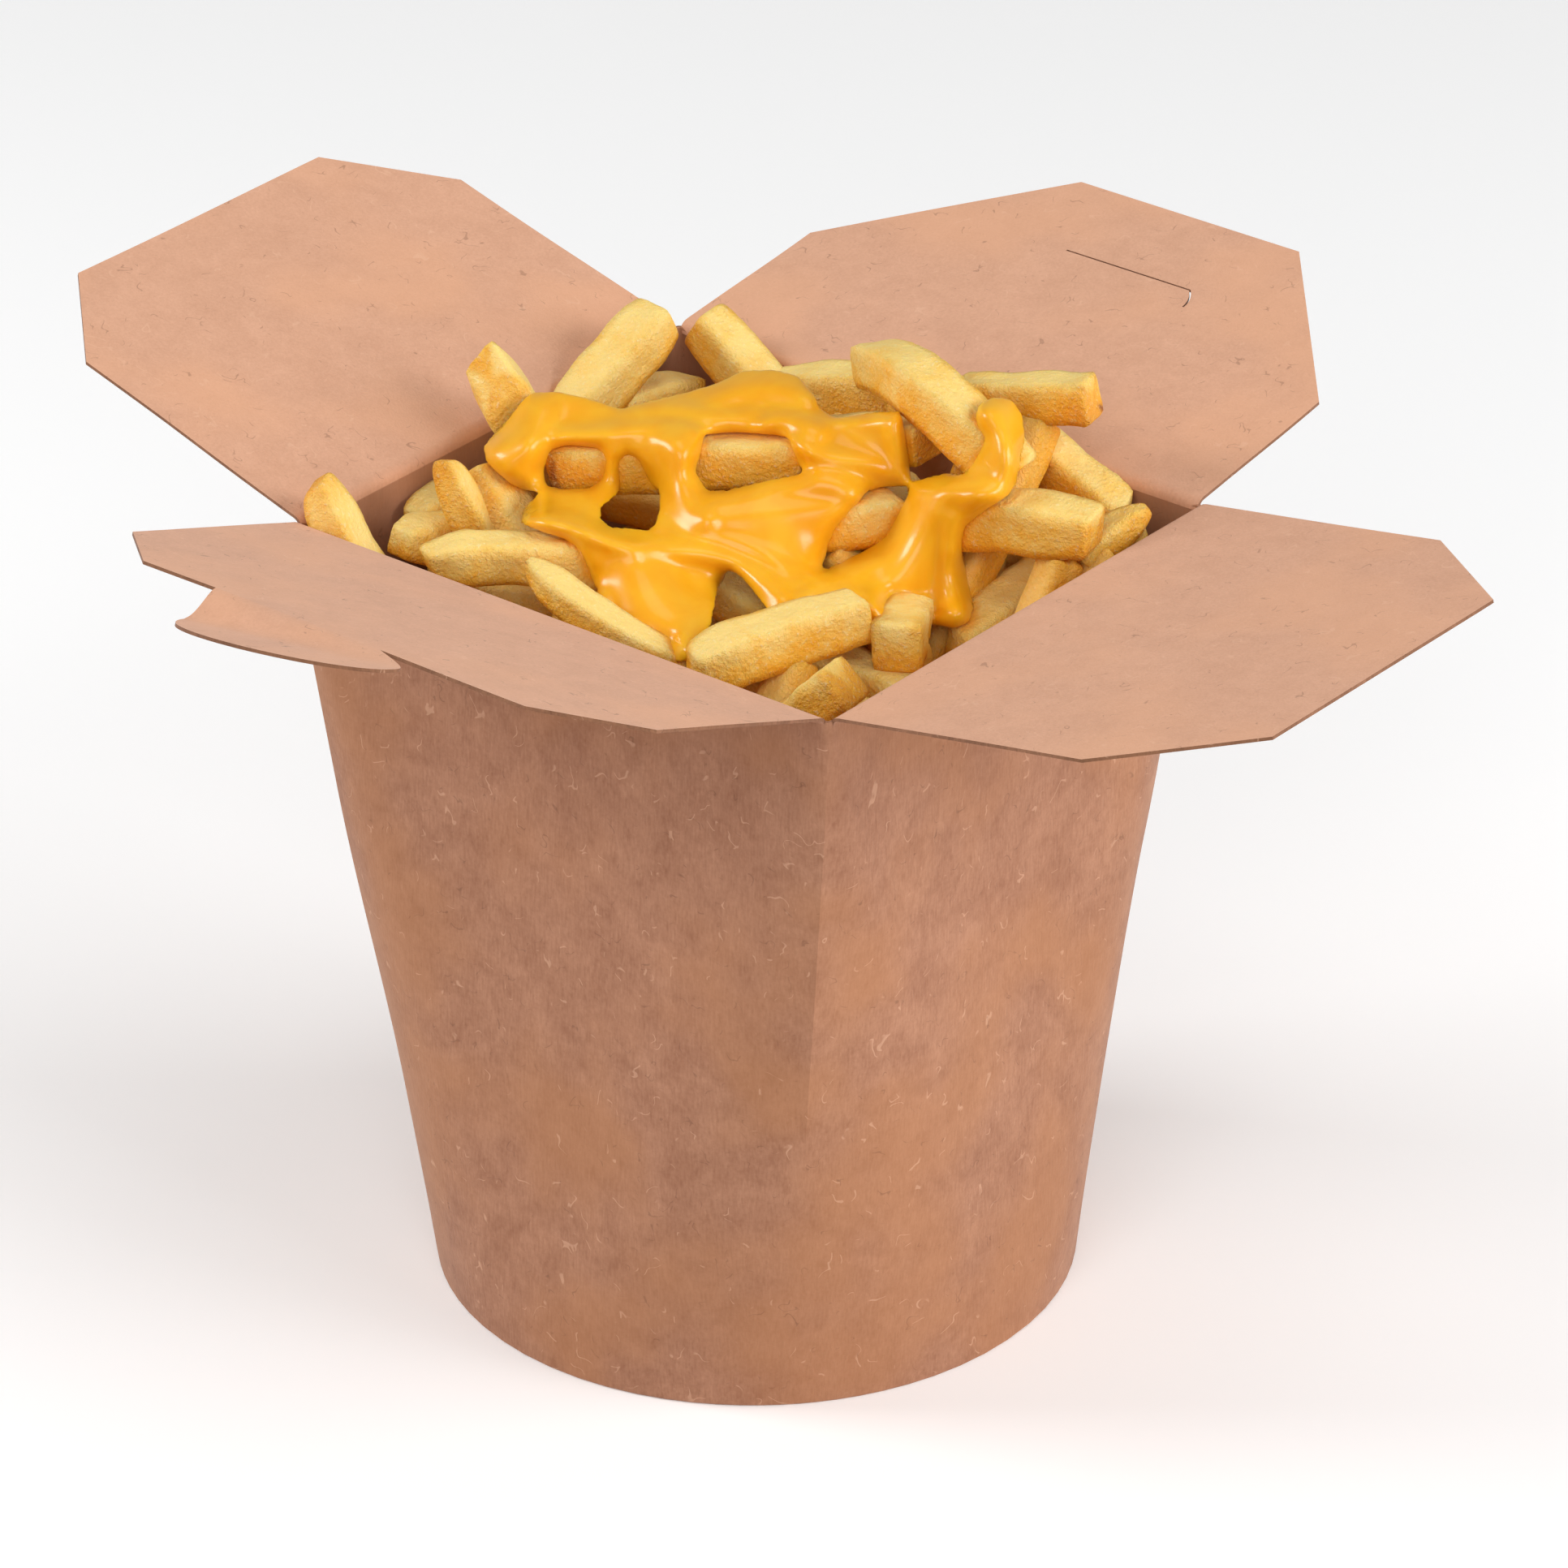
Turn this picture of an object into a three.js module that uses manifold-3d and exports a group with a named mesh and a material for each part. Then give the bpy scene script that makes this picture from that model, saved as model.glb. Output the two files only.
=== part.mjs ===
// Noodle takeaway box of folded kraft board: a cup that is round at its base and rectangular at its
// rim, with four open lid flaps on creases, filled with fries under a cheese sauce.
// Millimetres, +Z up. Origin: centre of the underside of the base.
// -Y wall: tab flap. +Y wall: slot flap. -X and +X walls: plain flaps.

import * as THREE from 'three';
import Module from 'manifold-3d';
import { mergeVertices } from 'three/addons/utils/BufferGeometryUtils.js';

const wasm = await Module();
wasm.setup();

// ---------------------------------------------------------------- driving dimensions

const BOARD = 0.5; // thickness of the board
const BASE_THICK = 1.0; // base disc with its glued hem
const RIM_HALF_X = 50; // half the rim's size along X
const RIM_HALF_Y = 43.6; // half the rim's size along Y
const RIM_Z = 123; // height of the rim and its creases
const BASE_RADIUS = 48.75;
const RIM_CORNER = 0.8; // corner radius left at the rim
const FRONT_FADE = 1; // how fast the two front corner folds open into the round base
const BACK_FADE = 0.85; // the same for the two corners on the +Y side
const RELIEF_RADIUS = 1.4; // round relief notch between two neighbouring creases
const CLEAR = 0.3; // gap between touching pieces

const HINGE_OUT = 0.2; // a crease line lies this far outside the wall
const FLAP_START = 0.4; // a flap's board starts this far from its crease line
const FLAP_END_TRIM = 0.8; // a flap is this much shorter than its wall at each end

// Each flap: angle above the horizon, length of its straight sides, full length, chamfer width.
const PLAIN_LEFT = { angle: 16.3, side: 44, full: 60.4, chamfer: 15.9 };
const PLAIN_RIGHT = { angle: 9.9, side: 43.5, full: 64.1, chamfer: 16.7 };
const SLOT_FLAP = { angle: 8.1, side: 30.5, full: 63.6, chamfer: 28.3 };
const TAB_FLAP = { angle: 19.6, side: 37.4, full: 50, chamfer: 14 };

const SLOT = { distance: 46.3, halfWidth: 15.5, gap: 0.5, hook: 3.5 };
const TAB = {
  length: 15.8, // reach beyond the flap's straight edge
  neckFrom: -9, // the stretch of the flap's edge that the tab grows from
  neckTo: 21.5,
  tipFrom: -17, // widest points of its two hooks
  tipTo: 20.5,
  droop: 3.9, // how far its far side hangs below the flap's plane
};

const CORE_TOP = 97; // height of the plain core under the loose fries
const FILL_CUT = 6.4;
const FILL_COUNT = 9; // fries that lie flat in the heap below the top ones
const FILL_TRIES = 3000;
const FILL_TOP = 116; // none of those lies higher
const SAUCE_THICK = 3.6;
const SAUCE_COVER = 1.5; // sauce on top of a fry

// ---------------------------------------------------------------- meshes and solids

function asGeometry(positions, indices) {
  const geometry = new THREE.BufferGeometry();
  geometry.setAttribute('position', new THREE.Float32BufferAttribute(positions, 3));
  geometry.setIndex(indices);
  return geometry;
}

function asSolid(geometry) {
  const plain = geometry.clone();
  plain.deleteAttribute('normal');
  plain.deleteAttribute('uv');
  const merged = mergeVertices(plain, 1e-4);
  const vertProperties = new Float32Array(merged.attributes.position.array);
  const triVerts = new Uint32Array(merged.index.array);
  return new wasm.Manifold(new wasm.Mesh({ numProp: 3, vertProperties, triVerts }));
}

function fromSolid(solid) {
  const mesh = solid.getMesh();
  const positions = [];
  for (let i = 0; i < mesh.vertProperties.length; i += mesh.numProp) {
    positions.push(...mesh.vertProperties.slice(i, i + 3));
  }
  return asGeometry(positions, Array.from(mesh.triVerts));
}

function union(solids) {
  let pending = [...solids];
  while (pending.length > 1) {
    const next = [];
    for (let i = 0; i < pending.length; i += 2) {
      next.push(i + 1 < pending.length ? pending[i].add(pending[i + 1]) : pending[i]);
    }
    pending = next;
  }
  return pending[0];
}

// The largest closed body of a solid: loose scraps and sealed hollows are dropped.
function largestBody(solid) {
  const bodies = solid.decompose().filter((body) => body.volume() > 0);
  bodies.sort((a, b) => b.volume() - a.volume());
  return bodies[0];
}

// Closed skin over a stack of rings with the same number of points, capped at both ends.
function skinRings(rings) {
  const count = rings[0].length;
  const positions = rings.flat().flatMap((p) => [p.x, p.y, p.z]);
  const indices = [];
  for (let r = 0; r + 1 < rings.length; r += 1) {
    for (let i = 0; i < count; i += 1) {
      const a = r * count + i;
      const b = r * count + ((i + 1) % count);
      indices.push(a, b, b + count, a, b + count, a + count);
    }
  }
  const ends = [
    [0, true],
    [rings.length - 1, false],
  ];
  for (const [ring, flipped] of ends) {
    const middle = new THREE.Vector3();
    rings[ring].forEach((p) => middle.addScaledVector(p, 1 / count));
    const hub = positions.length / 3;
    positions.push(middle.x, middle.y, middle.z);
    for (let i = 0; i < count; i += 1) {
      const a = ring * count + i;
      const b = ring * count + ((i + 1) % count);
      indices.push(...(flipped ? [hub, b, a] : [hub, a, b]));
    }
  }
  return asGeometry(positions, indices);
}

// ---------------------------------------------------------------- cup

const ARC_STEPS = 7; // flat facets in each corner of the wall
const CORE_ARC_STEPS = 4; // the same in the heap's core, inside it

// Section of the wall at height z, offset inwards: a rounded rectangle whose corners grow from a
// sharp fold at the rim to a quarter circle each at the base.
function wallRing(z, inset, arcSteps = ARC_STEPS) {
  const up = Math.min(z / RIM_Z, 1);
  const halfX = RIM_HALF_X * up + BASE_RADIUS * (1 - up) - inset;
  const halfY = RIM_HALF_Y * up + BASE_RADIUS * (1 - up) - inset;
  const ring = [];
  for (let quarter = 0; quarter < 4; quarter += 1) {
    const fade = quarter < 2 ? BACK_FADE : FRONT_FADE;
    const radius = Math.max(BASE_RADIUS * (1 - up) ** fade, RIM_CORNER) - inset * 0.9;
    const corner = Math.max(radius, 0.3);
    const signX = quarter === 0 || quarter === 3 ? 1 : -1;
    const signY = quarter < 2 ? 1 : -1;
    for (let step = 0; step <= arcSteps; step += 1) {
      const turn = ((quarter + step / arcSteps) * Math.PI) / 2;
      const x = signX * (halfX - corner) + corner * Math.cos(turn);
      const y = signY * (halfY - corner) + corner * Math.sin(turn);
      ring.push(new THREE.Vector3(x, y, z));
    }
  }
  return ring;
}

const WALL_LEVELS = [0, 0.14, 0.3, 0.46, 0.62, 0.76, 0.88, 0.95, 1];

function makeCup() {
  const outside = WALL_LEVELS.map((level) => wallRing(level * RIM_Z, 0));
  const insideLevels = [...WALL_LEVELS].reverse();
  const inside = insideLevels.map((level) => wallRing(Math.max(level * RIM_Z, BASE_THICK), BOARD));
  const shell = asSolid(skinRings([...outside, ...inside]));
  const notches = [];
  for (const sx of [-1, 1]) {
    for (const sy of [-1, 1]) {
      const notch = new THREE.CylinderGeometry(RELIEF_RADIUS, RELIEF_RADIUS, 6, 12);
      notch.rotateX(Math.PI / 2);
      notch.rotateZ((sx * sy * -Math.PI) / 4);
      notch.translate(sx * RIM_HALF_X, sy * RIM_HALF_Y, RIM_Z);
      notches.push(asSolid(notch));
    }
  }
  return shell.subtract(union(notches));
}

// Room inside the cup for its contents, carried on upwards as a straight shaft inside the flaps.
function makeInside() {
  const rings = WALL_LEVELS.map((level) => {
    const z = Math.max(level * RIM_Z, BASE_THICK + CLEAR);
    return wallRing(z, BOARD + CLEAR);
  });
  const top = rings.at(-1).map((p) => new THREE.Vector3(p.x, p.y, RIM_Z + 60));
  return asSolid(skinRings([...rings, top]));
}

// ---------------------------------------------------------------- flaps

// Half outline of a flap, mirrored about its middle: straight side, chamfer, straight edge.
function flapOutline(hingeLength, { side, full, chamfer }) {
  const half = hingeLength / 2 - FLAP_END_TRIM;
  return [
    [-half, FLAP_START],
    [half, FLAP_START],
    [half - 0.6, side],
    [half - chamfer, full],
    [chamfer - half, full],
    [0.6 - half, side],
  ];
}

function plate(outline) {
  const shape = new THREE.Shape(outline.map(([s, v]) => new THREE.Vector2(s, v)));
  return new THREE.ExtrudeGeometry(shape, { depth: BOARD, bevelEnabled: false });
}

// Slit for the tab: a straight cut with a short hook at each end, turned back to the crease.
function makeSlot() {
  const { distance, halfWidth, gap, hook } = SLOT;
  const outline = [
    [-halfWidth - 0.6, distance - hook],
    [-halfWidth + gap, distance - hook],
    [-halfWidth + gap + 1, distance - gap],
    [halfWidth - gap - 1, distance - gap],
    [halfWidth - gap, distance - hook],
    [halfWidth + 0.6, distance - hook],
    [halfWidth, distance],
    [-halfWidth, distance],
  ];
  const cut = plate(outline);
  cut.scale(1, 1, 3);
  cut.translate(0, 0, -BOARD);
  return asSolid(cut);
}

const TAB_ROWS = 9;
const TAB_COLUMNS = 6;

// The tab: rows across its width from the flap's edge to its round end. Each side runs out from
// the neck to a hook and then round to the end, and the far side droops below the flap's plane.
function makeTab() {
  const start = TAB_FLAP.full - 1;
  const side = (reach, neck, tip) => {
    if (reach < 0) return neck;
    const outwards = Math.min(reach / 0.36, 1);
    const round = Math.max((reach - 0.36) / 0.64, 0);
    const middle = (TAB.tipFrom + TAB.tipTo) / 2;
    const hook = neck + (tip - neck) * Math.sin((outwards * Math.PI) / 2);
    return middle + (hook - middle) * Math.sqrt(Math.max(1 - round ** 2.4, 0.02));
  };
  const rings = [];
  for (let row = 0; row <= TAB_ROWS; row += 1) {
    const v = start + ((TAB.length + 1) * row) / TAB_ROWS;
    const reach = (v - TAB_FLAP.full) / TAB.length;
    const from = side(reach, TAB.neckFrom, TAB.tipFrom);
    const to = side(reach, TAB.neckTo, TAB.tipTo);
    const below = [];
    const above = [];
    for (let column = 0; column <= TAB_COLUMNS; column += 1) {
      const s = from + ((to - from) * column) / TAB_COLUMNS;
      const across = (s - TAB.tipFrom) / (TAB.tipTo - TAB.tipFrom);
      const bend = THREE.MathUtils.smoothstep(v, TAB_FLAP.full, TAB_FLAP.full + 7);
      const down = TAB.droop * across * bend;
      below.push(new THREE.Vector3(s, v, -down));
      above.push(new THREE.Vector3(s, v, BOARD - down));
    }
    rings.push([...above, ...below.reverse()]);
  }
  return asSolid(skinRings(rings));
}

// Puts a flap made in its own plane (s along the crease, v away from it) on its wall.
function hang(solid, turn, halfWidth, angle) {
  const geometry = fromSolid(solid);
  geometry.rotateX(THREE.MathUtils.degToRad(angle));
  geometry.translate(0, halfWidth + HINGE_OUT, RIM_Z);
  geometry.rotateZ(THREE.MathUtils.degToRad(turn));
  return geometry;
}

function makeFlaps() {
  const alongX = 2 * RIM_HALF_X;
  const alongY = 2 * RIM_HALF_Y;
  const slotPlate = asSolid(plate(flapOutline(alongX, SLOT_FLAP))).subtract(makeSlot());
  const tabPlate = asSolid(plate(flapOutline(alongX, TAB_FLAP))).add(makeTab());
  const leftPlate = asSolid(plate(flapOutline(alongY, PLAIN_LEFT)));
  const rightPlate = asSolid(plate(flapOutline(alongY, PLAIN_RIGHT)));
  return {
    flap_slot: hang(slotPlate, 0, RIM_HALF_Y, SLOT_FLAP.angle),
    flap_plain_left: hang(leftPlate, 90, RIM_HALF_X, PLAIN_LEFT.angle),
    flap_tab: hang(tabPlate, 180, RIM_HALF_Y, TAB_FLAP.angle),
    flap_plain_right: hang(rightPlate, -90, RIM_HALF_X, PLAIN_RIGHT.angle),
  };
}

// ---------------------------------------------------------------- fries

// The fries that show: axis points from end to end, thickness, and how much each end narrows.
const TOP_FRIES = [
  { name: 'back corner, leaning', path: [[-44.5, 33, 130], [-45.5, 8, 117]], cut: 7.4 },
  { name: 'back wall, leaning', path: [[-41, 38.5, 128], [-18, 39, 111.5]], cut: 7, tip: 0.8 },
  { name: 'behind the leaning one', path: [[-42, 36.5, 116.5], [-45, 22, 117.5]], cut: 6.6 },
  { name: 'pointed, left wall', path: [[-45, -4, 136], [-41, 1, 118], [-38, 3, 108]], cut: 8, tip: 0.45 },
  { name: 'left corner', path: [[-46, -39.6, 126], [-38, -39, 110], [-33, -35, 96]], cut: 6.4, tip: 0.6 },
  { name: 'left, short', path: [[-40, -32.5, 118.6], [-39, -15, 113]], cut: 6.6, tip: 0.7 },
  { name: 'left wall, low', path: [[-46, -22, 116], [-46, -10, 116.5]], cut: 5.6, tip: 0.7 },
  { name: 'left, thin', path: [[-37, -25, 130], [-34, -23.5, 121], [-31, -21, 113]], cut: 5, tip: 0.5 },
  { name: 'left, dark under sauce', path: [[-40, -14, 123.5], [-25, -15, 109]], cut: 7 },
  { name: 'front, long', path: [[-31, -36, 119.5], [-22, -28, 120], [-10, -17, 117.5]], cut: 6.8, tip: 0.6 },
  { name: 'front, under the long one', path: [[-36, -30, 111.5], [-14, -14, 107]], cut: 6.8 },
  {
    name: 'front, thin pointed',
    path: [[-17, -30, 121.3], [-4, -31, 117.3], [12, -24, 109.5]],
    cut: 4.8,
    tip: 0.4,
  },
  { name: 'front, large', path: [[14, -30, 114.3], [25, -5, 116.5]], cut: 7.3, tip: 0.75 },
  { name: 'front, end on', path: [[32, -6, 113.5], [25, 6, 112]], cut: 7.4, tip: 0.95 },
  { name: 'front corner', path: [[35, -21, 115.3], [25, -22.5, 105]], cut: 7.2, tip: 0.95 },
  { name: 'under the large one', path: [[13, -5, 107.3], [40, -6, 106]], cut: 6.8 },
  { name: 'front wall, low', path: [[11, -15, 105.5], [34, -15.5, 105]], cut: 6.8 },
  { name: 'right wall, long', path: [[32, 8, 107.6], [31, 38, 110.2]], cut: 7.4 },
  { name: 'right, thick', path: [[20, 19, 121], [33, 20.5, 124], [45, 24, 124.5]], cut: 7.6, tip: 0.9 },
  { name: 'right corner, pointed', path: [[46.3, 35, 124.5], [42, 26, 118.5]], cut: 5, tip: 0.5 },
  { name: 'right wall, low', path: [[38, 26, 112.8], [45, 37, 118.5]], cut: 6.2 },
  { name: 'back right, long', path: [[17, 39, 127], [39, 39, 118.2]], cut: 7 },
  { name: 'back right, high', path: [[12, 34.5, 132.3], [33, 39, 136.6]], cut: 6.4, tip: 0.95 },
  { name: 'top, curved', path: [[-6, 35, 132], [15, 24, 137.5], [29, 25, 128.5]], cut: 7.4, tip: 0.6 },
  { name: 'under the curved one', path: [[-23, 36, 122.5], [-3, 39, 126.7]], cut: 7.2 },
  { name: 'top, middle', path: [[-9, 17, 124.5], [15, 24, 130.5]], cut: 7, tip: 0.95 },
  { name: 'top, long', path: [[-33, -7, 123.3], [-1, 12, 126.5]], cut: 7 },
  { name: 'middle, low', path: [[6, 7, 113.3], [7, 31, 115.3]], cut: 7 },
  { name: 'under the front sheet', path: [[-8, -1, 110.3], [6, -2, 108.3]], cut: 6.8 },
  { name: 'right, deep', path: [[14, 36, 109.3], [24, 24, 105.5]], cut: 6.8 },
  { name: 'middle, in sauce', path: [[-4, -3, 120], [11, 13, 121]], cut: 6.8 },
];

// Corner-cut square section, as wide and as high as the fry's cut.
const FRY_SECTION = [
  [0.5, -0.3],
  [0.5, 0.3],
  [0.3, 0.5],
  [-0.3, 0.5],
  [-0.5, 0.3],
  [-0.5, -0.3],
  [-0.3, -0.5],
  [0.3, -0.5],
];
const SQUARE_SECTION = [
  [0.5, 0.5],
  [-0.5, 0.5],
  [-0.5, -0.5],
  [0.5, -0.5],
];
const END_ROUND = 1.2; // length of a fry's rounded end
const BEND_STATIONS = [0.3, 0.5, 0.7]; // where a bent fry has its sections

function fryCurve(path) {
  const points = path.map(([x, y, z]) => new THREE.Vector3(x, y, z));
  return points.length > 2 ? new THREE.CatmullRomCurve3(points) : new THREE.LineCurve3(...points);
}

// One ring of a fry at the share u of its length, beyond its end where u is under 0 or over 1.
function fryRing(curve, u, size, section) {
  const at = THREE.MathUtils.clamp(u, 0, 1);
  const along = curve.getTangentAt(at);
  const centre = curve.getPointAt(at).addScaledVector(along, (u - at) * curve.getLength());
  const side = new THREE.Vector3(0, 0, 1).cross(along).normalize();
  const over = along.clone().cross(side);
  return section.map(([a, b]) => {
    return centre.clone().addScaledVector(side, a * size).addScaledVector(over, b * size);
  });
}

// A fry: rounded ends, and from its first end it widens to its full cut.
function frySolid({ path, cut, tip = 0.85 }) {
  const curve = fryCurve(path);
  const length = curve.getLength();
  const middle = path.length > 2 ? BEND_STATIONS : [0.35];
  const stations = [0, END_ROUND / length, ...middle, 1 - END_ROUND / length, 1];
  const rings = stations.map((u) => {
    const atEnd = u === 0 || u === 1 ? 0.82 : 1;
    const narrow = tip + (1 - tip) * THREE.MathUtils.smoothstep(u * length, 0, 9);
    return fryRing(curve, u, cut * atEnd * narrow, FRY_SECTION);
  });
  return asSolid(skinRings(rings));
}

// A plain square bar along a fry's axis, grown on every side by extra.
function barSolid({ path, cut }, extra = 0) {
  const curve = fryCurve(path);
  const length = curve.getLength();
  const ends = [END_ROUND / length, 1 - END_ROUND / length];
  const middle = path.length > 2 ? [ends[0], ...BEND_STATIONS, ends[1]] : [];
  const rings = [-extra / length, ...middle, 1 + extra / length].map((u) => {
    return fryRing(curve, u, cut + 2 * extra, SQUARE_SECTION);
  });
  return asSolid(skinRings(rings));
}

// Repeatable draw between 0 and 1 for the n-th use.
function draw(n) {
  const value = Math.sin(n * 12.9898 + 4.1414) * 43758.5453;
  return value - Math.floor(value);
}

// Straight stretches of a fry's axis, each with the fry's cut.
function stretches({ path, cut }) {
  const points = path.map(([x, y, z]) => new THREE.Vector3(x, y, z));
  return points.slice(1).map((to, i) => ({ from: points[i], to, cut }));
}

// Shortest distance between two stretches, sampled along both.
function axisDistance(a, b) {
  let nearest = Infinity;
  const p = new THREE.Vector3();
  const q = new THREE.Vector3();
  for (let i = 0; i <= 8; i += 1) {
    p.lerpVectors(a.from, a.to, i / 8);
    for (let j = 0; j <= 8; j += 1) {
      q.lerpVectors(b.from, b.to, j / 8);
      nearest = Math.min(nearest, p.distanceTo(q));
    }
  }
  return nearest;
}

// How deep two stretches overlap, as a share of where they would just touch.
function closeness(a, b) {
  return axisDistance(a, b) / ((a.cut + b.cut) / 2);
}

function insideRim(x, y) {
  return Math.abs(x) < RIM_HALF_X - 5.5 && Math.abs(y) < RIM_HALF_Y - 5;
}

// Fries that lie below the top ones: each is dropped at a drawn place and heading, lowered until
// it rests on the core or on an earlier one, and kept where it touches none of the top fries.
function dropFries(top) {
  const laid = [];
  for (let n = 0; laid.length < FILL_COUNT && n < FILL_TRIES; n += 1) {
    const heading = draw(5 * n) * Math.PI;
    const reach = 14 + 9 * draw(5 * n + 1);
    const x = (draw(5 * n + 2) - 0.5) * 84;
    const y = (draw(5 * n + 3) - 0.5) * 74;
    const tilt = (draw(5 * n + 4) - 0.5) * 7;
    const dx = reach * Math.cos(heading);
    const dy = reach * Math.sin(heading);
    if (!insideRim(x + dx, y + dy) || !insideRim(x - dx, y - dy)) continue;
    let z = CORE_TOP + 1;
    let run;
    do {
      z += 1;
      const from = new THREE.Vector3(x - dx, y - dy, z - tilt);
      const to = new THREE.Vector3(x + dx, y + dy, z + tilt);
      run = { from, to, cut: FILL_CUT };
    } while (laid.some((other) => closeness(run, other) < 0.85) && z < FILL_TOP);
    if (z < FILL_TOP && top.every((other) => closeness(run, other) > 0.95)) laid.push(run);
  }
  return laid;
}

// Props: a top fry that touches nothing yet gets a slanting fry from its underside to the core,
// in the direction that stays clearest of the other top fries.
function propFries(top, laid) {
  const props = [];
  const order = [...TOP_FRIES].sort((a, b) => a.path.at(-1)[2] - b.path.at(-1)[2]);
  for (const fry of order) {
    const own = stretches(fry);
    const below = [...laid, ...props];
    if (own.some((run) => below.some((other) => closeness(run, other) < 0.8))) continue;
    const run = own.at(-1);
    const head = run.from.clone().lerp(run.to, 0.6);
    head.z -= fry.cut * 0.55;
    const drop = head.z - CORE_TOP;
    if (drop < 0) continue;
    const others = top.filter((other) => !own.some((mine) => mine.from.equals(other.from)));
    let best = null;
    for (let step = 0; step < 24; step += 1) {
      const heading = (step * Math.PI) / 12;
      const spread = drop * (step % 2 ? 0.5 : 1);
      const foot = new THREE.Vector3(Math.cos(heading), Math.sin(heading), 0).multiplyScalar(spread);
      foot.add(head).setZ(CORE_TOP - 1);
      if (!insideRim(foot.x, foot.y)) continue;
      const prop = { from: foot, to: head, cut: FILL_CUT };
      const room = Math.min(...others.map((other) => closeness(prop, other)));
      if (!best || room > best.room) best = { ...prop, room };
    }
    if (best) props.push(best);
  }
  return props;
}

function hiddenFries() {
  const top = TOP_FRIES.flatMap(stretches);
  const laid = dropFries(top);
  return [...laid, ...propFries(top, laid)].map(({ from, to, cut }) => ({
    path: [from.toArray(), to.toArray()],
    cut,
  }));
}

// Plain core of the heap: it fills the cup up to the lowest loose fries, with a bumpy top.
function makeCore(extra = 0) {
  const rows = WALL_LEVELS.filter((level) => level * RIM_Z < CORE_TOP - 4);
  const coreRing = (z) => wallRing(Math.max(z, BASE_THICK + CLEAR), BOARD + CLEAR, CORE_ARC_STEPS);
  const rings = rows.map((level) => coreRing(level * RIM_Z));
  const shoulder = coreRing(CORE_TOP - 4);
  rings.push(shoulder);
  for (const shrink of [0.86, 0.6, 0.32, 0.1]) {
    rings.push(
      shoulder.map((p, i) => {
        const bump = 1.6 * Math.sin(i * 1.9 + shrink * 11) + 3.4 * (1 - shrink);
        return new THREE.Vector3(p.x * shrink, p.y * shrink, CORE_TOP - 1 + bump + extra);
      }),
    );
  }
  return asSolid(skinRings(rings));
}

// ---------------------------------------------------------------- cheese sauce

// Poured strokes of the sauce: points on its surface, each with the stroke's half width there.
const SAUCE_STROKES = [
  {
    name: 'back ridge, left half',
    path: [[-38.5, -2, 126.5, 4], [-40, 10, 121.5, 3.2], [-38, 24, 118.5, 3]],
  },
  {
    name: 'back ridge, right half',
    path: [[-38, 24, 118.5, 3], [-32, 34, 119.5, 3.2], [-17, 33, 125.5, 2.8]],
  },
  { name: 'left fall', path: [[-38.5, -3, 126.5, 4.5], [-36, -11, 123, 5], [-33, -17, 119.5, 3.5]] },
  {
    name: 'valley behind the long fry',
    path: [[-37, 3, 122.5, 3.5], [-27, 15, 121.5, 4.5], [-14, 24, 123.5, 4]],
  },
  { name: 'over the long fry', path: [[-25, -2, 127.5, 2], [-18.5, 1.5, 128.5, 2.6], [-13.5, 3, 128, 4]] },
  {
    name: 'stream down the long fry',
    path: [[-14, 2, 128, 4], [-12.5, -1.5, 123.5, 3.8], [-8, -5.5, 121, 4]],
  },
  { name: 'left pool', path: [[-30, -13, 119.5, 3], [-27, -7, 118.5, 3.2], [-22, -5.5, 120.5, 2]] },
  { name: 'lower lip, left', path: [[-28, -14.6, 118.5, 2], [-20, -13, 119.5, 2], [-6, -7.5, 120, 2.2]] },
  { name: 'lower lip, right', path: [[-6, -7.5, 120, 2.2], [3, -4.5, 118, 2.2], [11, -5.5, 114, 2]] },
  { name: 'front sheet', path: [[-11, -15, 121, 4.5], [-4, -18.5, 118, 6.5], [7.5, -23.5, 113, 2.6]] },
  { name: 'front sheet, left edge', path: [[-20, -14.5, 118.5, 2.6], [-12, -20, 120.5, 3.2]] },
  { name: 'middle bar', path: [[-4, -4, 123.5, 3.6], [2, 3, 124.2, 3.6], [9.5, 11, 124.5, 3]] },
  { name: 'middle sheet', path: [[0, -4.5, 120.5, 5], [5.5, 0.5, 119.5, 6], [10.5, 8, 122.5, 4]] },
  { name: 'middle sheet, foot', path: [[6, 1, 117, 4.5], [9, -3, 114, 2.2]] },
  { name: 'patch, back edge', path: [[-9, 15, 127.5, 2.4], [1, 17.5, 129.8, 2.6], [10.5, 20, 132, 2.4]] },
  { name: 'patch, front face', path: [[1, 13, 127.5, 3.6], [5.5, 16, 127, 4.2], [10.5, 18, 125.8, 3.2]] },
  { name: 'patch to the middle bar', path: [[4, 14, 126.5, 3.4], [5, 8.5, 124, 3.2]] },
  {
    name: 'hook on the curved fry',
    path: [[22.8, 24.7, 138, 2.6], [28, 25, 134.5, 3], [30, 20.8, 129.5, 2.8]],
  },
  { name: 'right blob', path: [[17, 17.5, 124.5, 3], [23.4, 18, 126.3, 3.6], [29, 20, 128, 2.8]] },
  { name: 'right sheet', path: [[22, 16, 124, 5], [24, 9.5, 119, 5.5], [26.5, 0.5, 117, 3.8]] },
  { name: 'left arm', path: [[22, 11, 118, 4.2], [17.5, 4.7, 116.5, 2.8], [11.5, -5.5, 114.3, 2]] },
  { name: 'right drip', path: [[25.5, 14.5, 118.5, 4], [28.5, 12.5, 115, 3], [31, 11, 112, 1.8]] },
];
const STROKE_STEP = 4.8; // distance between a stroke's stations
const STROKE_COLUMNS = 3; // facets across a stroke
const COVER_RISE = 3.5; // a stroke climbs over a fry that stands up to this much above it

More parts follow.
